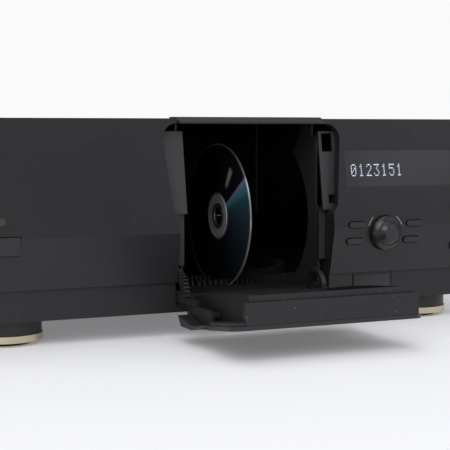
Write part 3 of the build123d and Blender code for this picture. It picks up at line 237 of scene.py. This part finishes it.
@dataclass(frozen=True)
class DiscFoil:
    """The disc's metallised face: a dark mirror with a clear hub, plus painted reflection: a band of diffracted colour
    painted in by angle, and a painted highlight.

    Attributes:
        centre: The disc's centre in the shared frame.
    """

    centre: Point

    def build(self) -> bpy.types.Material:
        """Makes the foil with rings by radius, and wedges of painted reflection colour by angle.

        Returns:
            The material.
        """
        material = bpy.data.materials.new("disc_foil")
        material.use_nodes = True
        nodes, links = material.node_tree.nodes, material.node_tree.links
        shader = nodes["Principled BSDF"]
        shader.inputs["Coat Weight"].default_value = 0.6
        shader.inputs["Coat Roughness"].default_value = 0.04
        place = nodes.new("ShaderNodeTexCoord")
        mapping = nodes.new("ShaderNodeMapping")
        mapping.inputs["Location"].default_value = tuple(-c for c in self.centre)
        links.new(place.outputs["Object"], mapping.inputs["Vector"])
        split = nodes.new("ShaderNodeSeparateXYZ")
        links.new(mapping.outputs["Vector"], split.inputs["Vector"])
        angle = nodes.new("ShaderNodeMath")
        angle.operation = "ARCTAN2"
        links.new(split.outputs["Z"], angle.inputs[0])
        links.new(split.outputs["Y"], angle.inputs[1])
        turn = nodes.new("ShaderNodeMapRange")
        turn.inputs["From Min"].default_value = -math.pi
        turn.inputs["From Max"].default_value = math.pi
        links.new(angle.outputs["Value"], turn.inputs["Value"])
        # Painted reflection: the teal, blue and pink diffraction colours are baked into the base colour by angle round
        # the disc.
        painted_reflection_wedge = nodes.new("ShaderNodeValToRGB")
        painted_light_stops = ((0.0, shade(52, 72, 84)), (0.07, shade(42, 52, 62)), (0.17, shade(30, 32, 38)),
                 (0.3, shade(24, 25, 28)), (0.5, shade(20, 21, 22)), (0.72, shade(20, 20, 21)),
                 (0.80, shade(40, 43, 44)), (0.903, shade(34, 37, 40)), (0.909, shade(214, 160, 226)),
                 (0.916, shade(110, 180, 198)), (0.95, shade(62, 104, 118)), (1.0, shade(52, 72, 84)))
        ramp = painted_reflection_wedge.color_ramp
        while len(ramp.elements) < len(painted_light_stops):
            ramp.elements.new(0.5)
        for element, (position, colour) in zip(ramp.elements, painted_light_stops):
            element.position = position
            element.color = (*colour, 1.0)
        links.new(turn.outputs["Result"], painted_reflection_wedge.inputs["Fac"])
        reach = nodes.new("ShaderNodeVectorMath")
        reach.operation = "LENGTH"
        links.new(mapping.outputs["Vector"], reach.inputs[0])
        bands = nodes.new("ShaderNodeValToRGB")
        bands.color_ramp.interpolation = "CONSTANT"
        rings = ((0.0, 0.12), (0.178, 0.75), (0.30, 0.25), (0.325, 0.0), (0.975, 0.35))
        while len(bands.color_ramp.elements) < len(rings):
            bands.color_ramp.elements.new(0.5)
        for element, (position, level) in zip(bands.color_ramp.elements, rings):
            element.position = position
            element.color = (level, level, level, 1.0)
        scale = nodes.new("ShaderNodeMath")
        scale.operation = "MULTIPLY"
        scale.inputs[1].default_value = 1000.0 / DISC_RADIUS
        links.new(reach.outputs["Value"], scale.inputs[0])
        links.new(scale.outputs["Value"], bands.inputs["Fac"])
        face = nodes.new("ShaderNodeMix")
        face.data_type = "RGBA"
        face.inputs["B"].default_value = (*shade(214, 215, 218), 1.0)
        links.new(bands.outputs["Color"], face.inputs["Factor"])
        links.new(painted_reflection_wedge.outputs["Color"], face.inputs["A"])
        # Painted highlight: a near-white glint mixed into the base colour over a short arc and band of the foil.
        painted_highlight = self._painted_highlight_mask(nodes, links, turn.outputs["Result"], scale.outputs["Value"])
        lit = nodes.new("ShaderNodeMix")
        lit.data_type = "RGBA"
        lit.inputs["B"].default_value = (*shade(250, 249, 240), 1.0)
        links.new(painted_highlight, lit.inputs["Factor"])
        links.new(face.outputs["Result"], lit.inputs["A"])
        links.new(lit.outputs["Result"], shader.inputs["Base Color"])
        metal = nodes.new("ShaderNodeMapRange")
        metal.inputs["To Min"].default_value = 0.3
        metal.inputs["To Max"].default_value = 0.25
        links.new(bands.outputs["Color"], metal.inputs["Value"])
        links.new(metal.outputs["Result"], shader.inputs["Metallic"])
        tracks = nodes.new("ShaderNodeTexNoise")
        tracks.inputs["Scale"].default_value = 700.0
        links.new(scale.outputs["Value"], tracks.inputs["Vector"])
        gloss = nodes.new("ShaderNodeMapRange")
        gloss.inputs["To Min"].default_value = 0.1
        gloss.inputs["To Max"].default_value = 0.24
        links.new(tracks.outputs["Fac"], gloss.inputs["Value"])
        links.new(gloss.outputs["Result"], shader.inputs["Roughness"])
        return material


    @staticmethod
    def _painted_highlight_mask(nodes: bpy.types.Nodes, links: bpy.types.NodeLinks, turn: bpy.types.NodeSocket,
               radius: bpy.types.NodeSocket) -> bpy.types.NodeSocket:
        """Makes the mask of the painted highlight, a pale glint painted over a short arc of the foil.

        Args:
            nodes: The material's nodes.
            links: The material's links.
            turn: The turn round the disc, 0 to 1.
            radius: The distance from the axis, 1 at the rim.

        Returns:
            The mask, 0 to 1.
        """
        masks = []
        for source, painted_light_stops in ((turn, ((0.0, 0.0), (0.826, 0.0), (0.834, 0.8), (0.846, 0.8), (0.856, 0.0))),
                              (radius, ((0.0, 0.0), (0.46, 0.0), (0.52, 0.8), (0.74, 1.0), (0.80, 0.0)))):
            ramp = nodes.new("ShaderNodeValToRGB")
            while len(ramp.color_ramp.elements) < len(painted_light_stops):
                ramp.color_ramp.elements.new(0.5)
            for element, (position, level) in zip(ramp.color_ramp.elements, painted_light_stops):
                element.position = position
                element.color = (level, level, level, 1.0)
            links.new(source, ramp.inputs["Fac"])
            masks.append(ramp)
        both = nodes.new("ShaderNodeMath")
        both.operation = "MULTIPLY"
        links.new(masks[0].outputs["Color"], both.inputs[0])
        links.new(masks[1].outputs["Color"], both.inputs[1])
        return both.outputs["Value"]


@dataclass(frozen=True)
class SmokedAcrylic:
    """The display window: dark acrylic, nearly opaque, behind the tiles of the digits."""

    name: str = "smoked_acrylic"
    tint: Colour = shade(38, 35, 39)
    cover: float = 0.86

    def build(self) -> bpy.types.Material:
        """Makes the acrylic with a gloss that wavers slightly.

        Returns:
            The material.
        """
        material = Finish(self.name, self.tint, rough=0.14, grain=4.0, relief=0.0005, mottle=0.06).build()
        material.node_tree.nodes["Principled BSDF"].inputs["Alpha"].default_value = self.cover
        return material


@dataclass(frozen=True)
class Glow:
    """A lit surface, such as the display's dots."""

    name: str
    colour: Colour
    strength: float

    def build(self) -> bpy.types.Material:
        """Makes the glow with a little unevenness from dot to dot.

        Returns:
            The material.
        """
        material = Finish(self.name, self.colour, rough=0.4, mottle=0.15).build()
        shader = material.node_tree.nodes["Principled BSDF"]
        shader.inputs["Emission Color"].default_value = (*self.colour, 1.0)
        shader.inputs["Emission Strength"].default_value = self.strength
        return material


FASCIA = Finish("fascia_charcoal", shade(32, 32, 34), rough=0.42, grain=0.35, relief=0.03, mottle=0.05, dust=0.08,
                specular=0.4)
STRIP = Finish("strip_charcoal", shade(32, 32, 34), rough=0.46, grain=0.35, relief=0.03, mottle=0.05, dust=0.1,
               specular=0.4)
DOOR_SKIN = Finish("door_charcoal", shade(40, 40, 42), rough=0.4, grain=0.35, relief=0.03, mottle=0.06,
                   dust=0.25, specular=0.4)
DOOR_INNER = Finish("door_inner_moulding", shade(38, 38, 40), rough=0.45, grain=0.5, relief=0.03, mottle=0.1,
                    dust=0.7, specular=0.35)
# The frame's side faces carry painted shade, darker than its front faces.
FRAME_GREY = Finish("frame_grey_moulding", shade(52, 52, 55), rough=0.5, grain=0.5, relief=0.03, mottle=0.07, dust=0.5,
                    painted_side_shade=shade(30, 30, 32))
LINER = Finish("liner_black", shade(40, 40, 42), rough=0.5, grain=0.5, relief=0.03, mottle=0.1, dust=0.5)
DARK = Finish("inner_black", shade(17, 17, 18), rough=0.55, grain=0.5, relief=0.03, mottle=0.12, dust=0.2)
TOWER = Finish("tower_matt_black", shade(9, 9, 9), rough=0.85, grain=0.6, relief=0.03, mottle=0.2, specular=0.1)
COMB = Finish("comb_black", shade(46, 46, 49), rough=0.35, grain=0.6, relief=0.01, mottle=0.1, dust=0.3)
COVER = Finish("cover_powder_coat", shade(34, 34, 36), rough=0.5, grain=0.45, relief=0.06, mottle=0.06, dust=0.06)
FOOT = Finish("foot_black", shade(30, 30, 30), rough=0.5, grain=0.5, relief=0.02, mottle=0.1, dust=0.15)
FOOT_RING = Finish("foot_ring_champagne", shade(200, 190, 162), rough=0.22, sheen=Sheen.METAL, grain=0.3, relief=0.004,
                   mottle=0.05, brushed=1.0)
PAD = Finish("foot_rubber", shade(24, 24, 24), rough=0.85, sheen=Sheen.RUBBER, grain=0.8, relief=0.05, mottle=0.15)
ZINC = Finish("zinc_steel", shade(168, 170, 172), rough=0.3, sheen=Sheen.METAL, grain=0.7, relief=0.01, mottle=0.12,
              brushed=6.0)
BLACK_ZINC = Finish("screw_black_zinc", shade(46, 46, 48), rough=0.35, sheen=Sheen.METAL, grain=0.6, relief=0.01,
                    mottle=0.15)
KNOB = Finish("knob_charcoal", shade(36, 36, 38), rough=0.3, grain=0.3, relief=0.015, mottle=0.05, dust=0.1)
KEY = Finish("key_charcoal", shade(33, 33, 35), rough=0.36, grain=0.3, relief=0.015, mottle=0.05, dust=0.1)
ACETAL = Finish("acetal_natural", shade(214, 212, 202), rough=0.38, grain=0.7, relief=0.01, mottle=0.05)
BOARD = Finish("board_green", shade(38, 84, 52), rough=0.35, grain=1.5, relief=0.02, mottle=0.25, coat=0.3)
CORE = Finish("transformer_core", shade(58, 54, 50), rough=0.45, sheen=Sheen.METAL, grain=0.5, relief=0.05, mottle=0.2,
              brushed=8.0)
GOLD = Finish("jack_gold", shade(214, 180, 96), rough=0.22, sheen=Sheen.METAL, grain=0.5, relief=0.005, mottle=0.08)
TUBE = Finish("display_glass", shade(46, 44, 54), rough=0.2, grain=1.0, relief=0.004, mottle=0.08, coat=0.5)
LAMP = Finish("lamp_red", shade(44, 13, 13), rough=0.2, grain=1.0, relief=0.004, mottle=0.1, coat=0.6)
DOTS = Glow("display_dots", shade(196, 204, 224), 0.9)


class Workshop:
    """Mesh steps shared by every sub-assembly, each worked with operators as by hand."""

    @staticmethod
    def clear() -> None:
        """Deselects everything, in object mode."""
        if bpy.context.object and bpy.context.object.mode != "OBJECT":
            bpy.ops.object.mode_set(mode="OBJECT")
        bpy.ops.object.select_all(action="DESELECT")

    @staticmethod
    def only(piece: bpy.types.Object) -> None:
        """Selects one piece and makes it active."""
        Workshop.clear()
        piece.select_set(True)
        bpy.context.view_layer.objects.active = piece

    @staticmethod
    def settle(piece: bpy.types.Object) -> None:
        """Moves a piece's place into its mesh, so that its object sits at the origin."""
        Workshop.only(piece)
        bpy.ops.object.transform_apply(location=True, rotation=True, scale=True)

    @staticmethod
    def block(name: str, low: Point, high: Point) -> bpy.types.Object:
        """Adds a block between two corners.

        Args:
            name: The piece's name.
            low: The lowest corner, in metres.
            high: The highest corner, in metres.

        Returns:
            The block, with its place in its mesh.
        """
        Workshop.clear()
        middle = tuple((a + b) / 2 for a, b in zip(low, high))
        bpy.ops.mesh.primitive_cube_add(size=1.0, location=middle)
        piece = bpy.context.object
        piece.name = name
        piece.scale = tuple(b - a for a, b in zip(low, high))
        Workshop.settle(piece)
        return piece

    @staticmethod
    def round_bar(name: str, radius: float, depth: float, middle: Point, turn: Point = (0.0, 0.0, 0.0),
                  sides: int = 64) -> bpy.types.Object:
        """Adds a round bar, along Z before its turn.

        Args:
            name: The piece's name.
            radius: The radius, in metres.
            depth: The length, in metres.
            middle: The middle, in metres.
            turn: The turn about X, Y and Z, in radians.
            sides: The number of sides.

        Returns:
            The bar, with its place in its mesh.
        """
        Workshop.clear()
        bpy.ops.mesh.primitive_cylinder_add(vertices=sides, radius=radius, depth=depth, location=middle, rotation=turn)
        piece = bpy.context.object
        piece.name = name
        Workshop.settle(piece)
        return piece

    @staticmethod
    def join(name: str, pieces: list[bpy.types.Object]) -> bpy.types.Object:
        """Joins pieces into one mesh.

        Args:
            name: The joined piece's name.
            pieces: The pieces to join.

        Returns:
            The joined piece.
        """
        Workshop.only(pieces[0])
        for piece in pieces[1:]:
            piece.select_set(True)
        bpy.ops.object.join()
        piece = bpy.context.object
        piece.name = name
        return piece

    @staticmethod
    def soften(piece: bpy.types.Object, width: float, segments: int = 2, apply: bool = True) -> None:
        """Rounds a piece's sharp edges.

        Args:
            piece: The piece.
            width: The round's width, in metres.
            segments: The steps of the round.
            apply: Whether the modifier is applied.
        """
        bevel = piece.modifiers.new("edge_round", "BEVEL")
        bevel.width = width
        bevel.segments = segments
        bevel.limit_method = "ANGLE"
        bevel.angle_limit = math.radians(35)
        if apply:
            Workshop.only(piece)
            bpy.ops.object.modifier_apply(modifier=bevel.name)

    @staticmethod
    def smooth(piece: bpy.types.Object) -> None:
        """Shades a piece smooth below a 35 degree fold."""
        Workshop.only(piece)
        bpy.ops.object.shade_smooth_by_angle(angle=math.radians(35))

    @staticmethod
    def paint(piece: bpy.types.Object, material: bpy.types.Material) -> None:
        """Gives a whole piece one material."""
        piece.data.materials.clear()
        piece.data.materials.append(material)


@dataclass
class Wardrobe:
    """Gives each CAD node its finish.

    Attributes:
        finishes: For each finish, the nodes that wear it.
    """

    finishes: dict[Finish, tuple[str, ...]] = field(default_factory=lambda: {
        FASCIA: ("front_fascia", "door_visor"),
        STRIP: ("lower_trim",),
        DOOR_SKIN: ("door_cover",),
        DOOR_INNER: ("door_box", "door_gear_sector", "door_arm"),
        FRAME_GREY: ("door_frame",),
        LINER: ("right_liner_wall", "left_liner_wall"),
        TOWER: ("player_tower",),
        DARK: ("sill_plate", "turntable", "clamp_arm", "clamper", "laser_pickup", "loading_arm",
               "carousel_tray", "power_inlet"),
        COMB: ("outer_comb", "inner_comb"),
        COVER: ("top_cover", "rear_panel"),
        FOOT: ("foot_bodies",),
        FOOT_RING: ("foot_rings",),
        PAD: ("foot_pads",),
        ZINC: ("chassis_pan", "hinge_pins", "guide_rods", "feed_screw", "spindle_motor", "carousel_motor", "door_motor",
               "jog_encoder", "board_angles"),
        BLACK_ZINC: ("cover_screws",),
        KNOB: ("jog_knob",),
        KEY: ("search_key_upper_left", "search_key_lower_left", "search_key_upper_right", "search_key_lower_right",
              "play_key", "stop_key", "door_key", "power_key"),
        ACETAL: ("door_pinion", "carousel_idler", "carousel_pinion", "carousel_glides", "key_switches"),
        BOARD: ("control_board", "power_key_board", "power_board", "main_board"),
        CORE: ("transformer",),
        GOLD: ("audio_jacks",),
        TUBE: ("display_tube",),
        LAMP: ("lamp_lens",),
    })

    def dress(self) -> None:
        """Builds each finish and assigns it to its nodes, and gives the window its acrylic."""
        for finish, names in self.finishes.items():
            material = finish.build()
            for name in names:
                Workshop.paint(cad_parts[name], material)
        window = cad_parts["display_window"]
        Workshop.paint(window, SmokedAcrylic().build())
        LOG.info("dressed %d nodes", sum(len(names) for names in self.finishes.values()) + 1)


@dataclass
class DiscDress:
    """The loaded disc's foil and its clear hub.

    Attributes:
        centre: The disc's centre, in front-plane millimetres.
    """

    centre: Point = (16.59, 88.0, 85.2)

    def build(self) -> None:
        """Paints the disc and adds the raised stacking ring round its hub."""
        material = DiscFoil(at(*self.centre)).build()
        Workshop.paint(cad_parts["disc"], material)
        Workshop.clear()
        bpy.ops.mesh.primitive_torus_add(major_radius=0.0172, minor_radius=0.0003, major_segments=96, minor_segments=8,
                                         location=at(self.centre[0] - 0.6, self.centre[1], self.centre[2]),
                                         rotation=(0.0, math.pi / 2, 0.0))
        ring = bpy.context.object
        ring.name = "disc_stacking_ring"
        Workshop.settle(ring)
        Workshop.smooth(ring)
        Workshop.paint(ring, Finish("disc_clear_ring", shade(190, 192, 196), rough=0.12, grain=1.0, relief=0.001,
                                    mottle=0.05, coat=0.5).build())
        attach(ring, "carousel")
        LOG.info("disc")


@dataclass
class DisplayDots:
    """The lit digits of the display, each a 5 by 7 grid of dots.

    Attributes:
        left: X of the first digit, in millimetres.
        bottom: Z of the lowest dots.
        top: Z of the highest dots.
        pitch: The dot pitch across.
        dot: The dot's side.
    """

    left: float = 96.0
    bottom: float = 119.6
    top: float = 128.8
    pitch: float = 0.99
    dot: float = 0.66
    digits: tuple[str, ...] = ("0", "1", "2", "3", "1", "5", "1")

    SHAPES = {
        "0": ("01110", "10001", "10011", "10101", "11001", "10001", "01110"),
        "1": ("00100", "01100", "00100", "00100", "00100", "00100", "01110"),
        "2": ("01110", "10001", "00001", "00010", "00100", "01000", "11111"),
        "3": ("11111", "00010", "00100", "00010", "00001", "10001", "01110"),
        "5": ("11111", "10000", "11110", "00001", "00001", "10001", "01110"),
    }

    def build(self) -> None:
        """Adds one small tile per lit dot, all in one mesh, a little in front of the window's face."""
        rows = 7
        rise = (self.top - self.bottom - self.dot) / (rows - 1)
        Workshop.clear()
        first = True
        piece = None
        for place, digit in enumerate(self.digits):
            for row, line in enumerate(self.SHAPES[digit]):
                for column, lit in enumerate(line):
                    if lit == "0":
                        continue
                    z = self.top - self.dot / 2 - row * rise
                    x = self.left + place * self.pitch * 7.2 + column * self.pitch
                    where = at(x, front_y(z) + 0.12, z)
                    bpy.ops.mesh.primitive_cube_add(size=1.0, location=where if first else (0.0, 0.0, 0.0))
                    if first:
                        piece = bpy.context.object
                        piece.name = "display_digits"
                        piece.scale = (self.dot * MM, 0.0001, self.dot * 1.25 * MM)
                        Workshop.settle(piece)
                        bpy.ops.object.mode_set(mode="EDIT")
                        first = False
                        continue
                    bpy.ops.transform.resize(value=(self.dot * MM, 0.0001, self.dot * 1.25 * MM),
                                             center_override=(0.0, 0.0, 0.0))
                    bpy.ops.transform.translate(value=where)
        bpy.ops.object.mode_set(mode="OBJECT")
        Workshop.paint(piece, DOTS.build())
        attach(piece, "chassis")
        LOG.info("display digits")


@dataclass
class TrimDetails:
    """Small trim of the front: the plate in the strip, the window's bevel, and the knob's ring and marks.

    Attributes:
        knob: X and Z of the knob's axis, in millimetres.
        mark_radius: Radius of the arcs printed beside the knob.
        mark_start: Where each arc starts, in degrees above level.
        mark_step: Degrees from one bar of an arc to the next.
        mark_bars: Bars in each arc.
    """

    knob: tuple[float, float] = (124.0, 74.0)
    mark_radius: float = 16.6
    mark_start: float = 22.0
    mark_step: float = 2.0
    mark_bars: int = 14

    def build(self) -> None:
        """Builds the front's trim pieces."""
        self._plate()
        self._window_bezel()
        self._knob_ring()
        self._knob_marks()

    def _knob_marks(self) -> None:
        """Adds the two thin printed arcs beside the knob's upper half, each a row of short bars on the face."""
        bars = []
        for sign in (-1.0, 1.0):
            for step in range(self.mark_bars):
                turn = math.radians(self.mark_start + step * self.mark_step)
                x = self.knob[0] + sign * self.mark_radius * math.cos(turn)
                z = self.knob[1] + self.mark_radius * math.sin(turn)
                bars.append(Workshop.block("mark", at(x - 0.2, front_y(z) - 0.03, z - 0.35),
                                           at(x + 0.2, front_y(z) + 0.3, z + 0.35)))
        marks = Workshop.join("knob_marks", bars)
        Workshop.paint(marks, Finish("print_white", shade(196, 196, 198), rough=0.5, relief=0.002, mottle=0.08).build())
        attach(marks, "chassis")

    def _plate(self) -> None:
        """Adds the bare plate between the strip's two grooves, with its rounded corners."""
        plate = Workshop.block("strip_plate", at(100.4, 9.1, 21.0), at(134.6, 9.58, 39.6))
        Workshop.soften(plate, 0.0002)
        Workshop.smooth(plate)
        Workshop.paint(plate, Finish("plate_charcoal", shade(36, 36, 38), rough=0.4, grain=0.3, relief=0.02,
                                     mottle=0.05, dust=0.1).build())
        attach(plate, "chassis")

    def _window_bezel(self) -> None:
        """Adds the bright bevel that shows round the window's aperture."""
        x0, x1, z0, z1 = 91.0, 206.0, 110.7, 140.6
        bars = []
        for low, high in (((x0 - 0.1, z0 - 0.1), (x1 + 0.1, z0 + 0.45)), ((x0 - 0.1, z1 - 0.4), (x1 + 0.1, z1 + 0.1)),
                          ((x0 - 0.1, z0), (x0 + 0.7, z1)), ((x1 - 0.3, z0), (x1 + 0.1, z1))):
            bar = Workshop.block("bezel_bar", at(low[0], front_y(low[1]) - 0.02, low[1]),
                                 at(high[0], front_y(low[1]) + 1.4, high[1]))
            if high[1] - low[1] > 2:
                Workshop.only(bar)
                bpy.ops.object.mode_set(mode="EDIT")
                bpy.ops.mesh.select_all(action="DESELECT")
                bpy.ops.object.mode_set(mode="OBJECT")
                for vertex in bar.data.vertices:
                    vertex.select = vertex.co.z > 0.125
                bpy.ops.object.mode_set(mode="EDIT")
                bpy.ops.transform.translate(value=(0.0, (front_y(z1) - front_y(z0)) * MM, 0.0))
                bpy.ops.object.mode_set(mode="OBJECT")
            bars.append(bar)
        bezel = Workshop.join("window_bezel", bars)
        Workshop.soften(bezel, 0.00006, 1)
        Workshop.paint(bezel, Finish("bezel_black", shade(18, 18, 20), rough=0.2, grain=0.5, relief=0.005, mottle=0.1,
                                     coat=0.5).build())
        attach(bezel, "chassis")

    def _knob_ring(self) -> None:
        """Adds the fine raised ring on the knob's step."""
        Workshop.clear()
        bpy.ops.mesh.primitive_torus_add(major_radius=0.0098, minor_radius=0.0003, major_segments=96, minor_segments=8,
                                         location=at(self.knob[0], -0.8 - 5.0, self.knob[1]),
                                         rotation=(math.pi / 2, 0.0, 0.0))
        ring = bpy.context.object
        ring.name = "knob_ring"
        Workshop.settle(ring)
        Workshop.smooth(ring)
        Workshop.paint(ring, KNOB.build())
        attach(ring, "jog_knob")


@dataclass
class ScrewRecesses:
    """The cross recesses in the cover's screw heads, drawn as flat dark crosses of painted shade."""

    side_x: float = 219.74
    rear_y: float = 423.9

    def build(self) -> None:
        """Adds a dark cross of painted shade on each head, where the recess lies in shade."""
        # Painted shade: thin near-black blocks stand in for the shaded cross recesses.
        bars = []
        for y in (110.0, 330.0):
            for sign in (-1.0, 1.0):
                x0, x1 = sorted((sign * (self.side_x - 0.5), sign * self.side_x))
                bars.append(Workshop.block("cross", at(x0, y - 1.8, 27.7), at(x1, y + 1.8, 28.3)))
                bars.append(Workshop.block("cross", at(x0, y - 0.3, 26.2), at(x1, y + 0.3, 29.8)))
        for x in (-190.0, 0.0, 190.0):
            near, far = self.rear_y - 0.5, self.rear_y + 0.05
            bars.append(Workshop.block("cross", at(x - 1.7, near, 151.7), at(x + 1.7, far, 152.3)))
            bars.append(Workshop.block("cross", at(x - 0.3, near, 150.3), at(x + 0.3, far, 153.7)))
        painted_recess_shade = Workshop.join("screw_recess_painted_shade", bars)
        Workshop.paint(painted_recess_shade, Finish("recess_painted_shade", shade(10, 10, 10), rough=0.7, mottle=0.2).build())
        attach(painted_recess_shade, "chassis")


@dataclass
class Studio:
    """The pale floor, the wall's light and the camera at the photograph's angle."""

    eye: Point = (-419.7, -860.6, 157.4)
    yaw: float = math.radians(-25.0)
    pitch: float = math.radians(-4.38)
    focal: float = 100.8

    def build(self) -> None:
        """Sets the floor, world, lamps and camera."""
        self._floor()
        self._world()
        self._lamp("key_light", (-0.9, -1.6, 1.5), 1.6, 24.0)
        self._lamp("fill_light", (1.4, -1.2, 1.1), 1.4, 6.0)
        self._lamp("top_light", (0.0, 0.1, 1.9), 1.6, 8.0)
        self._camera()

    def _floor(self) -> None:
        """Adds the plain pale floor, a flat plane with a faint glow of its own."""
        Workshop.clear()
        bpy.ops.mesh.primitive_plane_add(size=12.0, location=(0.0, 0.0, 0.0))
        floor = bpy.context.object
        floor.name = "studio_floor"
        material = bpy.data.materials.new("floor_pale")
        material.use_nodes = True
        nodes, links = material.node_tree.nodes, material.node_tree.links
        shader = nodes["Principled BSDF"]
        shader.inputs["Base Color"].default_value = (*shade(250, 250, 252), 1.0)
        shader.inputs["Roughness"].default_value = 0.6
        shader.inputs["Emission Color"].default_value = (1.0, 1.0, 1.0, 1.0)
        shader.inputs["Emission Strength"].default_value = 0.14
        floor.data.materials.append(material)

    def _world(self) -> None:
        """Lights from all round, and shows the camera a pale wall."""
        world = bpy.data.worlds.new("studio_world")
        bpy.context.scene.world = world
        world.use_nodes = True
        nodes, links = world.node_tree.nodes, world.node_tree.links
        light = nodes["Background"]
        light.inputs["Color"].default_value = (0.92, 0.94, 1.0, 1.0)
        light.inputs["Strength"].default_value = 0.34
        wall = nodes.new("ShaderNodeBackground")
        wall.inputs["Color"].default_value = (*shade(250, 250, 251), 1.0)
        wall.inputs["Strength"].default_value = 1.0
        path = nodes.new("ShaderNodeLightPath")
        mix = nodes.new("ShaderNodeMixShader")
        links.new(path.outputs["Is Camera Ray"], mix.inputs["Fac"])
        links.new(light.outputs["Background"], mix.inputs[1])
        links.new(wall.outputs["Background"], mix.inputs[2])
        links.new(mix.outputs["Shader"], nodes["World Output"].inputs["Surface"])

    def _lamp(self, name: str, place: Point, size: float, power: float) -> None:
        """Adds a soft lamp that faces the object.

        Args:
            name: The lamp's name.
            place: Where it stands, in metres.
            size: Its side, in metres.
            power: Its power, in watts.
        """
        data = bpy.data.lights.new(name, "AREA")
        data.size = size
        data.energy = power
        lamp = bpy.data.objects.new(name, data)
        bpy.context.scene.collection.objects.link(lamp)
        lamp.location = place
        aim = -math.atan2(math.hypot(place[0], place[1]), place[2] - 0.08)
        lamp.rotation_euler = (-aim, 0.0, math.atan2(place[0], -place[1]))

    def _camera(self) -> None:
        """Adds the camera at the photograph's angle."""
        data = bpy.data.cameras.new("photo_camera")
        data.lens = self.focal
        data.sensor_width = 36.0
        camera = bpy.data.objects.new("photo_camera", data)
        bpy.context.scene.collection.objects.link(camera)
        camera.location = at(*self.eye)
        camera.rotation_euler = (math.pi / 2 + self.pitch, 0.0, self.yaw)
        bpy.context.scene.camera = camera
        bpy.context.scene.view_settings.view_transform = "Standard"


def main() -> None:
    """Builds every sub-assembly in order."""
    logging.basicConfig(level=logging.INFO)
    Wardrobe().dress()
    DiscDress().build()
    DisplayDots().build()
    TrimDetails().build()
    ScrewRecesses().build()
    Studio().build()
    Workshop.clear()


if __name__ == "__main__":
    main()
